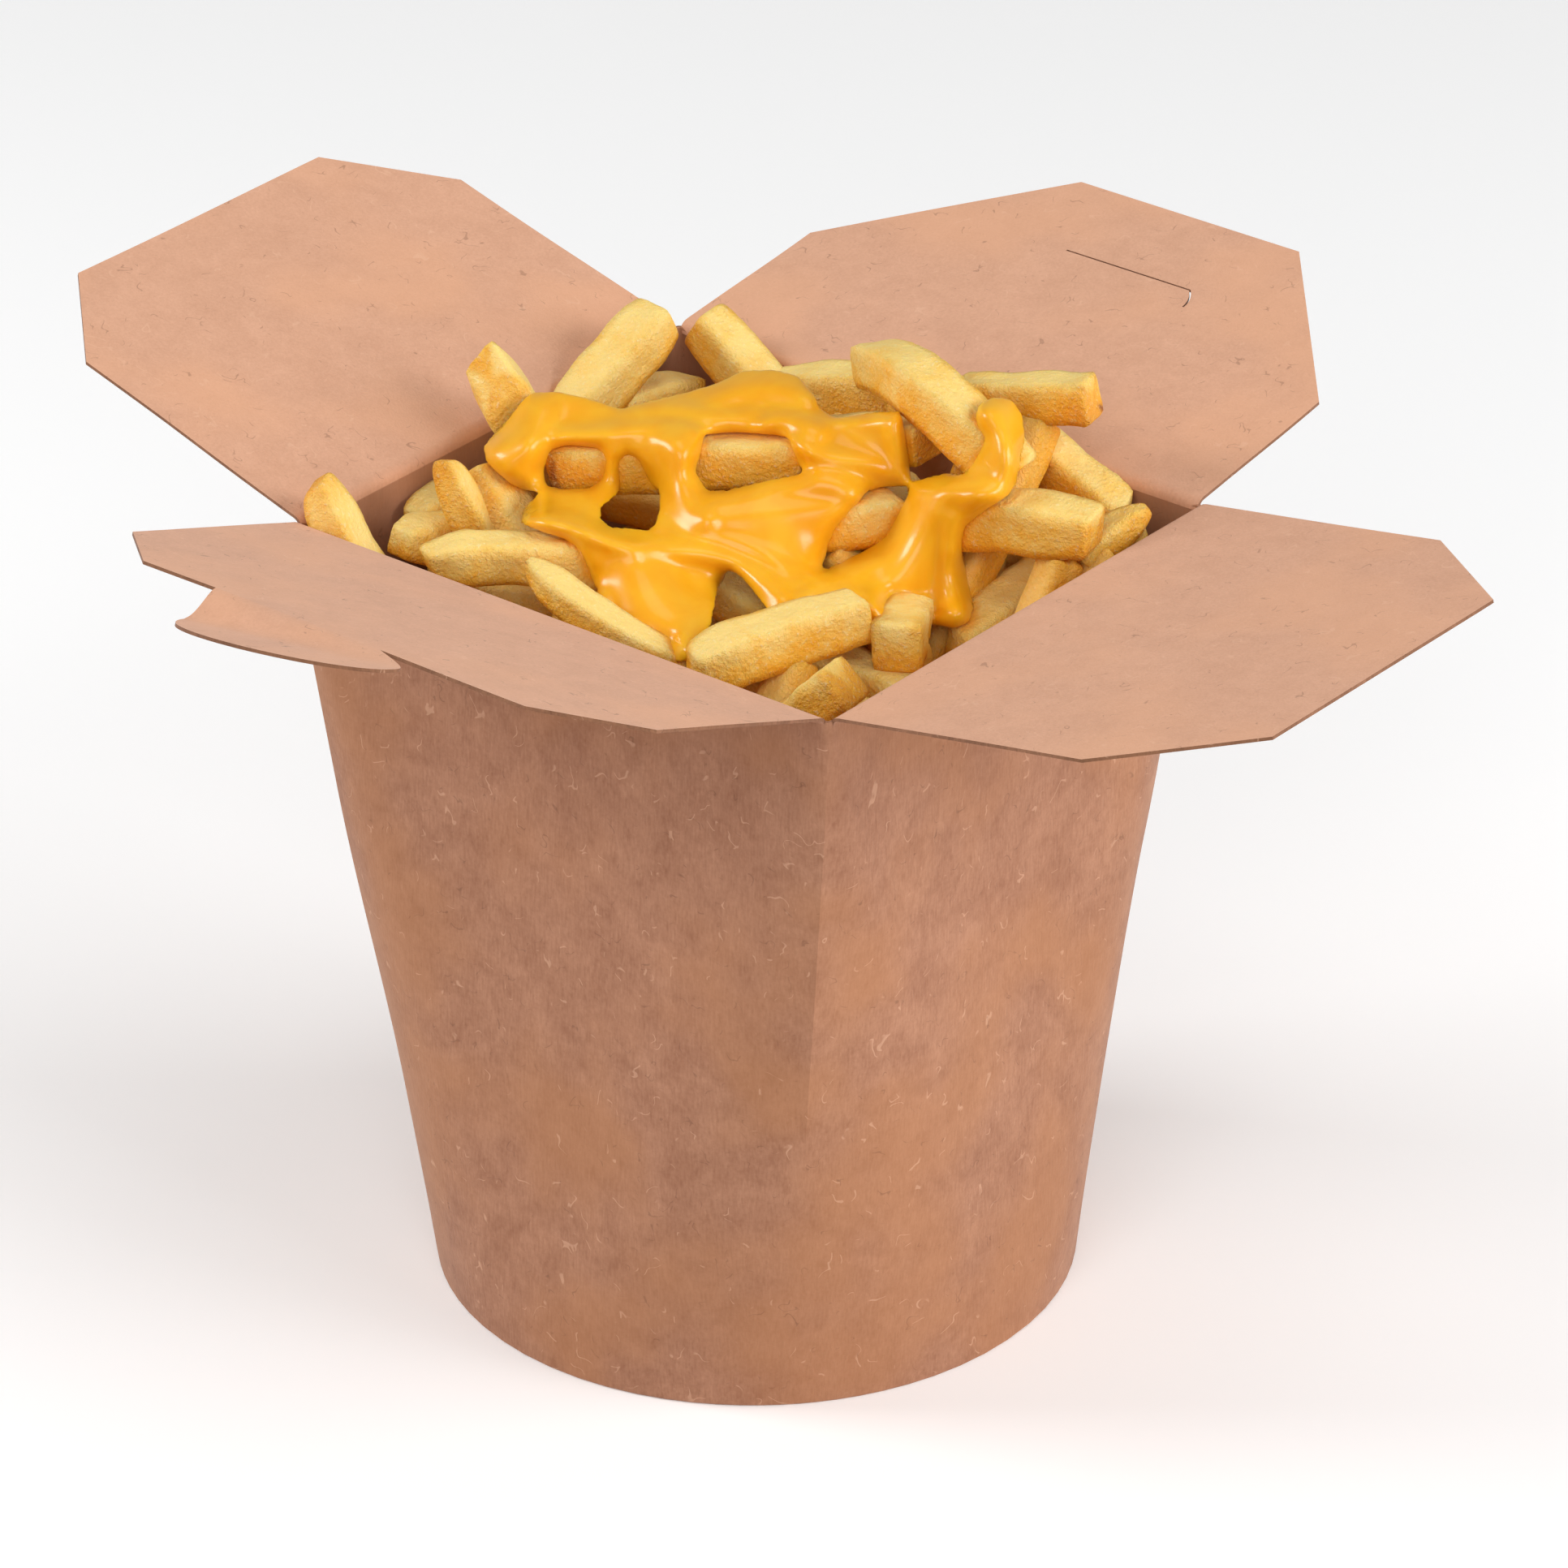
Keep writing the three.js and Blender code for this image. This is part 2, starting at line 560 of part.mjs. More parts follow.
// Height of the sauce's surface at a place of a stroke: it lies over the fries below it, and
// between them it keeps the stroke's own height, a little lower towards the edges.
function sauceHeight(samples, x, y, own) {
  let height = own;
  for (const { centre, cut } of samples) {
    const away = Math.hypot(centre.x - x, centre.y - y);
    const top = centre.z + cut / 2 + SAUCE_COVER;
    if (away > cut / 2 + 2 || top > own + COVER_RISE) continue;
    height = Math.max(height, top - 0.9 * Math.max(away - cut / 2, 0));
  }
  return height;
}

// One stroke as a closed ribbon: stations along its axis, columns across it, both ends rounded.
function strokeRibbon({ path }, samples) {
  const curve = new THREE.CatmullRomCurve3(path.map(([x, y, z]) => new THREE.Vector3(x, y, z)));
  const widths = new THREE.CatmullRomCurve3(path.map((p, i) => new THREE.Vector3(i, p[3], 0)));
  const length = curve.getLength();
  const count = Math.max(Math.round(length / STROKE_STEP), 3);
  const rings = [];
  for (let k = -1; k <= count + 1; k += 1) {
    const u = THREE.MathUtils.clamp(k / count, 0, 1);
    const along = curve.getTangent(u);
    const flat = new THREE.Vector3(along.x, along.y, 0).normalize();
    const across = new THREE.Vector3(flat.y, -flat.x, 0);
    const width = widths.getPoint(u).y;
    const beyond = k < 0 ? -1 : Math.max(k - count, 0);
    const centre = curve.getPoint(u).addScaledVector(flat, beyond * width * 0.75);
    const half = width * (beyond ? 0.55 : 1);
    const over = [];
    const under = [];
    for (let column = 0; column <= STROKE_COLUMNS; column += 1) {
      const c = (2 * column) / STROKE_COLUMNS - 1;
      const x = centre.x + across.x * c * half;
      const y = centre.y + across.y * c * half;
      const droop = 0.9 * c * c + (beyond ? 0.8 : 0);
      const height = sauceHeight(samples, x, y, centre.z - droop);
      const thick = SAUCE_THICK * (1 - 0.35 * c * c);
      over.push(new THREE.Vector3(x, y, height));
      under.push(new THREE.Vector3(x, y, height - thick));
    }
    rings.push([...over, ...under.reverse()]);
  }
  return asSolid(skinRings(rings));
}

function makeSauce(fries) {
  const samples = fries.flatMap(stretches).flatMap(({ from, to, cut }) => {
    return Array.from({ length: 13 }, (_, i) => ({ centre: from.clone().lerp(to, i / 12), cut }));
  });
  const poured = union(SAUCE_STROKES.map((stroke) => strokeRibbon(stroke, samples)));
  const grown = union([makeCore(CLEAR), ...fries.map((fry) => barSolid(fry, CLEAR))]);
  return largestBody(poured.subtract(grown));
}

// ---------------------------------------------------------------- the whole

const KRAFT_OUTSIDE = { color: 0xb98262, roughness: 0.85, metalness: 0 };
const KRAFT_INSIDE = { color: 0xd8a583, roughness: 0.85, metalness: 0 };
const FRIED_POTATO = { color: 0xe8bd5a, roughness: 0.6, metalness: 0 };
const CHEESE_SAUCE = { color: 0xf7ad33, roughness: 0.25, metalness: 0 };

const box = new THREE.Group();

function addPart(name, geometry, finish) {
  geometry.computeVertexNormals();
  const mesh = new THREE.Mesh(geometry, new THREE.MeshStandardMaterial(finish));
  mesh.name = name;
  box.add(mesh);
}

addPart('cup', fromSolid(makeCup()), KRAFT_OUTSIDE);
for (const [name, geometry] of Object.entries(makeFlaps())) {
  addPart(name, geometry, KRAFT_INSIDE);
}
const hidden = hiddenFries();
const bars = hidden.map((fry) => barSolid(fry));
const heap = union([makeCore(), ...bars, ...TOP_FRIES.map(frySolid)]).intersect(makeInside());
addPart('fries', fromSolid(largestBody(heap)), FRIED_POTATO);
addPart('cheese_sauce', fromSolid(makeSauce([...TOP_FRIES, ...hidden])), CHEESE_SAUCE);

export default box;
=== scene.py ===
"""Noodle takeaway box of kraft board, heaped with fries under cheese sauce.

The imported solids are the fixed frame. Every piece here is worked out in millimetres in that same
frame: origin at the centre of the underside of the base, +Z up, and is turned into metres once,
when its mesh is made.
"""

import math

import bpy
import numpy as np
from mathutils import Matrix, Vector


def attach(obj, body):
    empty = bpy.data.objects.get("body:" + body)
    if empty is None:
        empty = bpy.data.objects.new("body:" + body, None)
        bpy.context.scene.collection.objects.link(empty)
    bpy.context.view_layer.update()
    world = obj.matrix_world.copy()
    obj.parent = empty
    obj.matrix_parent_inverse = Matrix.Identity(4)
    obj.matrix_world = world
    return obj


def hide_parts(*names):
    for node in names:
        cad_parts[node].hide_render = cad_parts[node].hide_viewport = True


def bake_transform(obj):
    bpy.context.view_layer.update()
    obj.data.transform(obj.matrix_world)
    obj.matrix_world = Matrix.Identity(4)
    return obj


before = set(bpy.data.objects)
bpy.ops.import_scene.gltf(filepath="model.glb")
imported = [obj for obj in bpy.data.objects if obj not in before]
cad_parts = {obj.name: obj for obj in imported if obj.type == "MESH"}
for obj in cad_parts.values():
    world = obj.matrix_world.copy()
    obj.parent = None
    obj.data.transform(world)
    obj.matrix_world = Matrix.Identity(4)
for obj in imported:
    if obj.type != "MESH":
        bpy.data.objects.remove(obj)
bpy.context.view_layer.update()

MM = 0.001

# ---- sizes, in millimetres

BOARD = 0.5  # thickness of the board
BASE_THICK = 1.0
RIM_HALF_X = 50.0
RIM_HALF_Y = 43.6
RIM_Z = 123.0
BASE_RADIUS = 48.75
RIM_CORNER = 0.8  # radius of the corner folds at the rim
FRONT_FADE = 1.0  # how fast the corner folds on the -Y side open into the round base
BACK_FADE = 0.85
FOLD_DROP = 1.2  # the rounded fold of a flap starts this far below the rim
FOLD_REACH = 1.4  # and ends this far out in the flap's plane
CORNER_RISE = 1.0  # how far the wall rises between two folds, to close the corner
HINGE_OUT = 0.2
FLAP_END_TRIM = 0.8  # by how much each end of a flap stops short of the corner
WALL_WAVE = 0.22  # soft unevenness of the board
CORNER_POINTS = 21  # points round a corner of the wall's section
SIDE_POINTS = 22  # points along a side between two corners
CREASE_DEPTH = 1.4  # how far the corners' creases stand proud below the rim
CREASE_WIDTH = 4.6

# Each flap: its angle above level, how far out its sides and its far edge lie from the crease, and
# by how much the far edge is shorter than the crease at each end.
PLAIN_LEFT = {"angle": 16.3, "side": 44.0, "full": 60.4, "chamfer": 15.9}
PLAIN_RIGHT = {"angle": 9.9, "side": 43.5, "full": 64.1, "chamfer": 16.7}
SLOT_FLAP = {"angle": 8.1, "side": 30.5, "full": 63.6, "chamfer": 28.3}
TAB_FLAP = {"angle": 19.6, "side": 37.4, "full": 50.0, "chamfer": 14.0}
SLOT_DISTANCE = 46.3  # from the crease to the slit for the tab
SLOT_HALF = 15.2  # half the slit's length
SLOT_HOOK = 4.6  # length of the hook at the slit's end
SLOT_GAP = 0.3  # width of the slit
SLOT_START = -10.5  # where the open part of the slit begins
PLATE_INNER = SLOT_HALF + 1.3  # columns nearer to a flap's middle than this are straight
TAB = {"length": 15.8, "neck": (-9.0, 21.5), "tip": (-17.0, 20.5), "droop": 3.9}
TAB_NECK = 0.36  # share of the tab's length over which it widens from its neck

CORE_TOP = 97.0  # height of the heap's core
FILL_CUT = 6.4  # thickness of the fries that are dropped on the core
FILL_COUNT = 9
FILL_TRIES = 3000
FILL_TOP = 116.0  # dropped fries that would lie higher are left out
FRY_RIM = 0.9  # how far a fry's cut ends are rounded
FRY_TAPER = 6.5  # length over which a fry's first end narrows
FRY_POWER = 8.0  # how square a fry's section is
FRY_EDGE = 1.3  # how far the edges of a fry are rounded where the sauce lies on it
FRY_BEND = 1.6  # range of the sideways bend of a fry
FRY_TWIST = 0.3  # range of its twist, in radians
FRY_SLANT = 1.1  # range of the slope of its cut ends
BLISTERS = (3.2, 0.16, 7), (1.1, 0.07, 5)  # size, height and number of patterns of its skin
BROWN_REACH = 2.6  # how far browning reaches along a fry from its end

CAMERA_PLACE = np.array([709.4, -856.93, 676.17])
CAMERA_TURN = math.radians(39.38)
CAMERA_HEIGHT = math.radians(28.26)
CAMERA_ROLL = math.radians(-0.43)
LENS = 195.35
VIEW_REACH = 1250.0  # distance from the camera at which outlines are measured

FLOOR_REACH = 9000.0
# Each light: its name, place, size and power.
LIGHTS = [
    ("right_back", (1100, 500, 550), 900, 11),
    ("right", (1200, 100, 700), 600, 3.2),
    ("left_front", (-900, -600, 700), 500, 7.6),
    ("front", (500, -900, 900), 900, 6.4),
    ("top", (0, 250, 1300), 700, 1.8),
]


# ---- numbers and noise


def smoothstep(value, low, high):
    """0 below low, 1 above high, and 3t^2 - 2t^3 between them."""
    t = np.clip((value - low) / (high - low), 0, 1)
    return t * t * (3 - 2 * t)


def quarter_sine(value):
    """0 at 0, 1 at 1 and beyond, and sin(pi t / 2) between them."""
    return np.sin(np.clip(value, 0, 1) * math.pi / 2)


def quarter_circle(value):
    """0 at 0, 1 at 1 and beyond, and the square root of 1 - (1 - t)^2 between them."""
    return np.sqrt(np.maximum(1 - (1 - np.clip(value, 0, 1)) ** 2, 0))


def unit(vectors):
    """Vectors of length 1 in the same directions."""
    return vectors / np.maximum(np.linalg.norm(vectors, axis=-1, keepdims=True), 1e-9)


def crossways(directions):
    """Two directions square to each given one: a level one, and one above."""
    side = unit(np.cross([0, 0, 1.0], directions))
    return side, np.cross(directions, side)


def draw(n):
    """Repeatable draw between 0 and 1 for the n-th use."""
    value = math.sin(n * 12.9898 + 4.1414) * 43758.5453
    return value - math.floor(value)


def blended(cell, part, value_at):
    """Blend of the values at the corners of each cell, for a place that is that part across it."""
    total = 0.0
    for corner in np.ndindex((2,) * part.shape[-1]):
        share = np.prod(np.where(corner, part, 1 - part), axis=-1)
        total = total + share * value_at(cell + np.array(corner))
    return total


def grid_value(values, low, step, points):
    """The value of a grid at each place, blended from the grid points round it."""
    limit = np.array(values.shape) - 1.001
    place = np.clip((points - np.array(low)) / step, 0, limit)
    cell = place.astype(int)
    return blended(cell, place - cell, lambda at: values[tuple(np.moveaxis(at, -1, 0))])


def lattice_height(at):
    """Repeatable random height from -1 to 1 of a lattice point."""
    mixed = at[..., 0] * 127.1 + at[..., 1] * 311.7 + at[..., 2] * 74.7
    height = np.sin(mixed) * 43758.5453
    return 2 * (height - np.floor(height)) - 1


def noise(points, size, seed):
    """Smooth noise from -1 to 1: each corner of a lattice of cubes of that size has a random
    height, and a point takes the blend of its cube's eight corners by 3t^2 - 2t^3."""
    place = np.asarray(points, float) / size + seed * 17.31
    cell = np.floor(place)
    part = place - cell
    return blended(cell, part * part * (3 - 2 * part), lattice_height)


def lagrange(points, knots, shares):
    """The curve through the points, which it passes at those knots, by Lagrange's formula."""
    curve = 0.0
    for i, point in enumerate(points):
        weight = 1.0
        for j in range(len(points)):
            if j != i:
                weight = weight * (shares - knots[j]) / (knots[i] - knots[j])
        curve = curve + weight[:, None] * point
    return curve


# ---- meshes


class Shape:
    """Points in millimetres with quads and triangles, and named values for each point."""

    def __init__(self, points, quads, triangles=None, values=None, slots=None):
        self.points = np.asarray(points, float).reshape(-1, 3)
        self.quads = np.asarray(quads, int).reshape(-1, 4)
        self.triangles = np.zeros((0, 3), int) if triangles is None else np.asarray(triangles, int)
        self.values = values or {}
        self.slots = slots

    def volume(self):
        """Sum of the signed tetrahedra between the origin and every face."""
        halves = [self.quads[:, [0, 1, 2]], self.quads[:, [0, 2, 3]], self.triangles]
        corners = self.points[np.concatenate(halves)]
        return np.einsum("ij,ij->i", corners[:, 0], np.cross(corners[:, 1], corners[:, 2])).sum() / 6

    def outward(self):
        """Turns every face round if the closed shape is inside out."""
        if self.volume() < 0:
            self.quads = self.quads[:, ::-1]
            self.triangles = self.triangles[:, ::-1]
        return self


def joined(shapes):
    """Several shapes as one, each keeping its own points. Those with slots are all of quads."""
    starts = np.cumsum([0] + [len(shape.points) for shape in shapes[:-1]])
    values = {
        name: np.concatenate([shape.values[name] for shape in shapes]) for name in shapes[0].values
    }
    points = np.concatenate([shape.points for shape in shapes])
    quads = np.concatenate([shape.quads + start for shape, start in zip(shapes, starts)])
    triangles = np.concatenate([shape.triangles + start for shape, start in zip(shapes, starts)])
    slots = None
    if shapes[0].slots is not None:
        slots = np.concatenate([shape.slots for shape in shapes])
    return Shape(points, quads, triangles, values, slots)


def skin(rings):
    """Closed skin over rings of the same number of points: quads between neighbouring rings, and a
    fan of triangles round the middle of the first and the last one."""
    count, around = rings.shape[:2]
    index = np.arange(count * around).reshape(count, around)
    onward = np.roll(index, -1, axis=1)
    quads = np.stack([index[:-1], onward[:-1], onward[1:], index[1:]], -1).reshape(-1, 4)
    hubs = np.array([rings[0].mean(0), rings[-1].mean(0)])
    first = np.stack([np.full(around, count * around), onward[0], index[0]], -1)
    last = np.stack([np.full(around, count * around + 1), index[-1], onward[-1]], -1)
    points = np.concatenate([rings.reshape(-1, 3), hubs])
    return Shape(points, quads, np.concatenate([first, last])).outward()


def slab(over, under, kept=None):
    """Closed board between two grids of points, over and under. Cells that are not kept are left
    out, and a wall of quads closes every edge where a kept cell has no neighbour."""
    rows, columns = over.shape[:2]
    if kept is None:
        kept = np.ones((rows - 1, columns - 1), bool)
    index = np.arange(rows * columns).reshape(rows, columns)
    cells = np.stack([index[:-1, :-1], index[:-1, 1:], index[1:, 1:], index[1:, :-1]], -1)
    shift = rows * columns
    quads = [cells[kept], cells[kept][:, ::-1] + shift]
    slots = [np.zeros(kept.sum(), int), np.ones(kept.sum(), int)]
    padded = np.pad(kept, 1)
    neighbours = {(0, 1): padded[:-2, 1:-1], (1, 2): padded[1:-1, 2:]}
    neighbours.update({(2, 3): padded[2:, 1:-1], (3, 0): padded[1:-1, :-2]})
    for (a, b), beside in neighbours.items():
        edge = cells[kept & ~beside]
        quads.append(np.stack([edge[:, b], edge[:, a], edge[:, a] + shift, edge[:, b] + shift], -1))
        slots.append(np.full(len(edge), 2))
    points = np.concatenate([over.reshape(-1, 3), under.reshape(-1, 3)])
    quads = np.concatenate(quads)
    used = np.zeros(len(points), bool)
    used[quads] = True
    renumbered = np.cumsum(used) - 1
    return Shape(points[used], renumbered[quads], None, {}, np.concatenate(slots)).outward()


def add_object(name, data):
    """A new object in the scene."""
    thing = bpy.data.objects.new(name, data)
    bpy.context.scene.collection.objects.link(thing)
    return thing


def add_piece(name, shape, materials, sharp=None):
    """Makes the mesh object: points in metres, smooth faces, values as point attributes."""
    mesh = bpy.data.meshes.new(name)
    faces = shape.quads.tolist() + shape.triangles.tolist()
    mesh.from_pydata((shape.points * MM).tolist(), [], faces)
    if shape.slots is not None:
        mesh.polygons.foreach_set("material_index", shape.slots.astype(np.int32))
    mesh.polygons.foreach_set("use_smooth", np.ones(len(faces), bool))
    mesh.validate()
    for key, numbers in shape.values.items():
        attribute = mesh.attributes.new(key, "FLOAT", "POINT")
        attribute.data.foreach_set("value", numbers.astype(np.float32))
    if sharp is not None:
        mesh.set_sharp_from_angle(angle=math.radians(sharp))
    for material in materials:
        mesh.materials.append(material)
    return add_object(name, mesh)


# ---- shader expressions


class Field:
    """A value that varies over a surface. Python's operators on it add Math nodes."""

    def __init__(self, paint, socket):
        self.paint = paint
        self.socket = socket

    def math(self, operation, *others, first=None):
        inputs = [self if first is None else first, *others]
        return self.paint.node("ShaderNodeMath", {"operation": operation}, inputs)

    def __add__(self, other):
        return self.math("ADD", other)

    def __sub__(self, other):
        return self.math("SUBTRACT", other)

    def __rsub__(self, other):
        return self.math("SUBTRACT", self, first=other)

    def __mul__(self, other):
        return self.math("MULTIPLY", other)

    def __truediv__(self, other):
        return self.math("DIVIDE", other)

    __radd__ = __add__
    __rmul__ = __mul__

    def ramp(self, low, high):
        """0 at low and below, 1 at high and above, and smooth between them."""
        settings = {"interpolation_type": "SMOOTHSTEP"}
        return self.paint.node("ShaderNodeMapRange", settings, [self, low, high])


class Paint:
    """A material of one Principled shader, whose sockets take constants or expressions."""

    def __init__(self, name, **constants):
        self.material = bpy.data.materials.new(name)
        self.material.use_nodes = True
        self.tree = self.material.node_tree
        self.shader = self.tree.nodes["Principled BSDF"]
        for socket, value in constants.items():
            self.set(socket.replace("_", " "), value)
        self.place = self.node("ShaderNodeTexCoord", {}, [], "Object")

    def node(self, kind, settings, inputs, output=0):
        """Adds a node: its settings first, then its inputs, in order or by name."""
        node = self.tree.nodes.new(kind)
        for key, value in settings.items():
            setattr(node, key, value)
        pairs = inputs.items() if isinstance(inputs, dict) else enumerate(inputs)
        for key, value in pairs:
            self.feed(node.inputs[key], value)
        return Field(self, node.outputs[output])

    def feed(self, socket, value):
        if isinstance(value, Field):
            self.tree.links.new(value.socket, socket)
        else:
            socket.default_value = value

    def set(self, socket, value):
        self.feed(self.shader.inputs[socket], value)

    def noise(self, scale, detail=3.0, roughness=0.55, place=None, distortion=0.0):
        inputs = {
            "Vector": place or self.place,
            "Scale": scale,
            "Detail": detail,
            "Roughness": roughness,
            "Distortion": distortion,
        }
        return self.node("ShaderNodeTexNoise", {}, inputs, "Fac")

    def stretched(self, turn, scale):
        """The place turned and scaled, for a pattern of fibres that lie in one direction."""
        inputs = {"Vector": self.place, "Rotation": turn, "Scale": scale}
        return self.node("ShaderNodeMapping", {}, inputs)

    def attribute(self, name):
        return self.node("ShaderNodeAttribute", {"attribute_name": name}, [], "Fac")

    def mix(self, mask, base, other):
        """The base colour where the mask is 0, and the other one where it is 1."""
        inputs = {0: mask, 6: base, 7: other}  # 6 and 7, and output 2, are the colour sockets
        return self.node("ShaderNodeMix", {"data_type": "RGBA"}, inputs, 2)

    def bump(self, height, distance, strength=1.0):
        inputs = {"Height": height, "Distance": distance, "Strength": strength}
        self.set("Normal", self.node("ShaderNodeBump", {}, inputs, "Normal"))


def srgb(red, green, blue):
    """A screen colour, 0 to 255, as the linear colour that a shader takes."""
    shares = [value / 255 for value in (red, green, blue)]
    linear = [v / 12.92 if v <= 0.04045 else ((v + 0.055) / 1.055) ** 2.4 for v in shares]
    return (*linear, 1.0)


# ---- materials


def kraft(name, light, dark, warm, cloud, fibre):
    """Uncoated kraft board: cloudy patches that drift from pinkish to ochre, fine fibres that lie
    mostly upright, and short curly fibres, dark ones and pale ones. cloud and fibre set how
    strongly the patches and the fibres show. The wall's inside is darker and browner: painted shade."""
    paint = Paint(
        name, Roughness=0.78, Specular_IOR_Level=0.3, Sheen_Weight=0.12, Sheen_Roughness=0.4
    )
    broad = paint.noise(38, 2, 0.5)
    clouds = paint.noise(150, 4, 0.6, distortion=0.5)
    mottle = paint.noise(520, 3, 0.6)
    grain = paint.noise(1900, 2, 0.6)
    threads = None
    for turn, stretch in (
        ((0.25, 0.15, 0.6), (2600, 2600, 420)),
        ((-0.35, 0.3, -0.9), (3000, 3000, 520)),
        ((0.9, -0.5, 1.9), (2400, 2400, 600)),
    ):
        lying = paint.noise(1.0, 1.5, 0.5, paint.stretched(turn, stretch))
        threads = lying if threads is None else threads + lying
    threads = threads / 3 - 0.5
    curls = curly_fibres(paint, 330, 0.014, 0.60)
    pale_curls = curly_fibres(paint, 270, 0.02, 0.61)
    tone = (clouds - 0.5) * cloud + (mottle - 0.5) * (cloud * 0.5) + (grain - 0.5) * 0.25
    tone = tone + threads * fibre + 0.5
    colour = paint.mix(tone.ramp(0.05, 0.95), dark, light)
    colour = paint.mix(broad.ramp(0.4, 0.66) * 0.5, colour, warm)
    colour = paint.mix(curls * 0.3, colour, srgb(84, 50, 32))
    colour = paint.mix(pale_curls * 0.26, colour, srgb(236, 190, 158))
    # painted shade: the inside of the wall is darkened halfway towards dark brown
    colour = paint.mix(paint.attribute("painted_inside_shade") * 0.5, colour, srgb(120, 70, 30))
    paint.set("Base Color", colour)
    paint.bump(grain * 0.4 + threads * 1.6 + mottle * 0.5 - curls * 0.25, 0.00012, 0.5)
    return paint.material


def curly_fibres(paint, scale, width, rarity):
    """Thin curved lines where one noise passes through its middle value, cut into short pieces
    by a second noise."""
    line = paint.noise(scale, 1, 0.4, distortion=0.5) - 0.5
    pieces = paint.noise(scale * 0.9 + 40, 1, 0.5)
    return line.math("ABSOLUTE").ramp(width, width * 0.35) * pieces.ramp(rarity, rarity + 0.05)


def fried_potato():
    """Pale flesh with a golden, grainy skin on the browner faces, the edges and the ends, and a film
    of sauce beside the sauce. Painted light and shade: paler top faces, more golden undersides,
    and a deeper orange low down in the heap."""
    paint = Paint(
        "fried_potato",
        Subsurface_Weight=0.22,
        Subsurface_Radius=(1.0, 0.55, 0.18),
        Subsurface_Scale=0.0035,
    )
    names = ("crisp", "tone", "film", "low", "heap_depth_shade")
    crisp, tone, film, low, heap_depth_shade = [paint.attribute(name) for name in names]
    grains = paint.noise(1700, 3, 0.65)
    pores = paint.noise(700, 3, 0.6)
    patches = paint.noise(160, 4, 0.6, distortion=0.6)
    # painted light and shade: tone pales the top faces, and low turns the undersides more golden and
    # amber
    golden = (patches - 0.5) * 1.6 + tone * 0.75 + low * 0.5 + crisp * 0.4 + (pores - 0.5) * 0.5
    colour = paint.mix(golden.ramp(0.0, 1.1), srgb(252, 218, 130), srgb(250, 188, 54))
    colour = paint.mix((golden + low * 0.5).ramp(0.7, 1.8), colour, srgb(250, 170, 24))
    browned = (golden - 0.5) * 0.8 + crisp * 0.6 + (grains - 0.5) * 1.6
    colour = paint.mix(browned.ramp(0.25, 0.95) * 0.55, colour, srgb(232, 156, 52))
    burnt = crisp + (pores - 0.5) * 0.6
    colour = paint.mix(burnt.ramp(0.78, 1.3), colour, srgb(150, 82, 34))
    colour = paint.mix(grains.ramp(0.56, 0.7) * 0.4, colour, srgb(255, 240, 190))
    # painted shade: fries deep in the heap and the core turn a saturated orange
    colour = paint.mix(heap_depth_shade * 0.6, colour, srgb(244, 166, 24))
    colour = paint.mix(film * 0.8, colour, srgb(250, 168, 22))
    paint.set("Base Color", colour)
    paint.set("Roughness", pores * 0.2 + 0.42 - film * 0.25)
    relief = grains * (tone + crisp + 0.3) * 0.9 + pores * 0.6 + patches * 0.4
    paint.bump(relief * (1 - film * 0.7), 0.0005, 1.0)
    return paint.material


def cheese_sauce_paint():
    """Warm, glossy, slightly translucent cheese sauce."""
    paint = Paint(
        "cheese_sauce",
        Roughness=0.3,
        Specular_IOR_Level=0.35,
        Subsurface_Weight=0.35,
        Subsurface_Radius=(1.0, 0.6, 0.2),
        Subsurface_Scale=0.0024,
        Coat_Roughness=0.16,
    )
    swirl = paint.noise(120, 3, 0.5, distortion=0.8)
    colour = paint.mix(swirl.ramp(0.3, 0.7), srgb(248, 183, 34), srgb(243, 169, 16))
    paint.set("Base Color", colour)
    paint.set("Coat Weight", 0.35)
    paint.bump(paint.noise(260, 2, 0.5), 0.0003, 0.12)
    return paint.material


# ---- cup


def wall_rings(heights, inset):
    """Sections of the wall, one for each height: a rounded rectangle whose half sizes and corner
    radii go from the base circle to the rim's rectangle. Each corner is an arc, and each side a
    run of points that are closest together near the corners."""
    up = np.clip(np.asarray(heights, float) / RIM_Z, 0, 1)[:, None]
    half_x = RIM_HALF_X * up + BASE_RADIUS * (1 - up) - inset
    half_y = RIM_HALF_Y * up + BASE_RADIUS * (1 - up) - inset
    arc = np.linspace(-1, 1, CORNER_POINTS)[None]
    arc = 0.5 + 0.5 * np.sign(arc) * np.abs(arc) ** 1.4
    side = (1 - np.cos(np.linspace(0, math.pi, SIDE_POINTS + 2)[1:-1])) / 2
    corners = []
    for quarter in range(4):
        fade = BACK_FADE if quarter < 2 else FRONT_FADE
        radius = np.maximum(BASE_RADIUS * (1 - up) ** fade, RIM_CORNER) - inset * 0.9
        radius = np.maximum(radius, 0.3)
        turn = (quarter + arc) * math.pi / 2
        sign_x = 1 if quarter in (0, 3) else -1
        sign_y = 1 if quarter < 2 else -1
        x = sign_x * (half_x - radius) + radius * np.cos(turn)
        y = sign_y * (half_y - radius) + radius * np.sin(turn)
        corners.append(np.stack([x, y], -1))
    runs = []
    for quarter in range(4):
        start = corners[quarter][:, -1:]
        end = corners[(quarter + 1) % 4][:, :1]
        runs += [corners[quarter], start + (end - start) * side[None, :, None]]
    plan = np.concatenate(runs, 1)
    z = np.broadcast_to(np.asarray(heights, float)[:, None, None], plan.shape[:2] + (1,))
    return creased(np.concatenate([plan, z], -1))


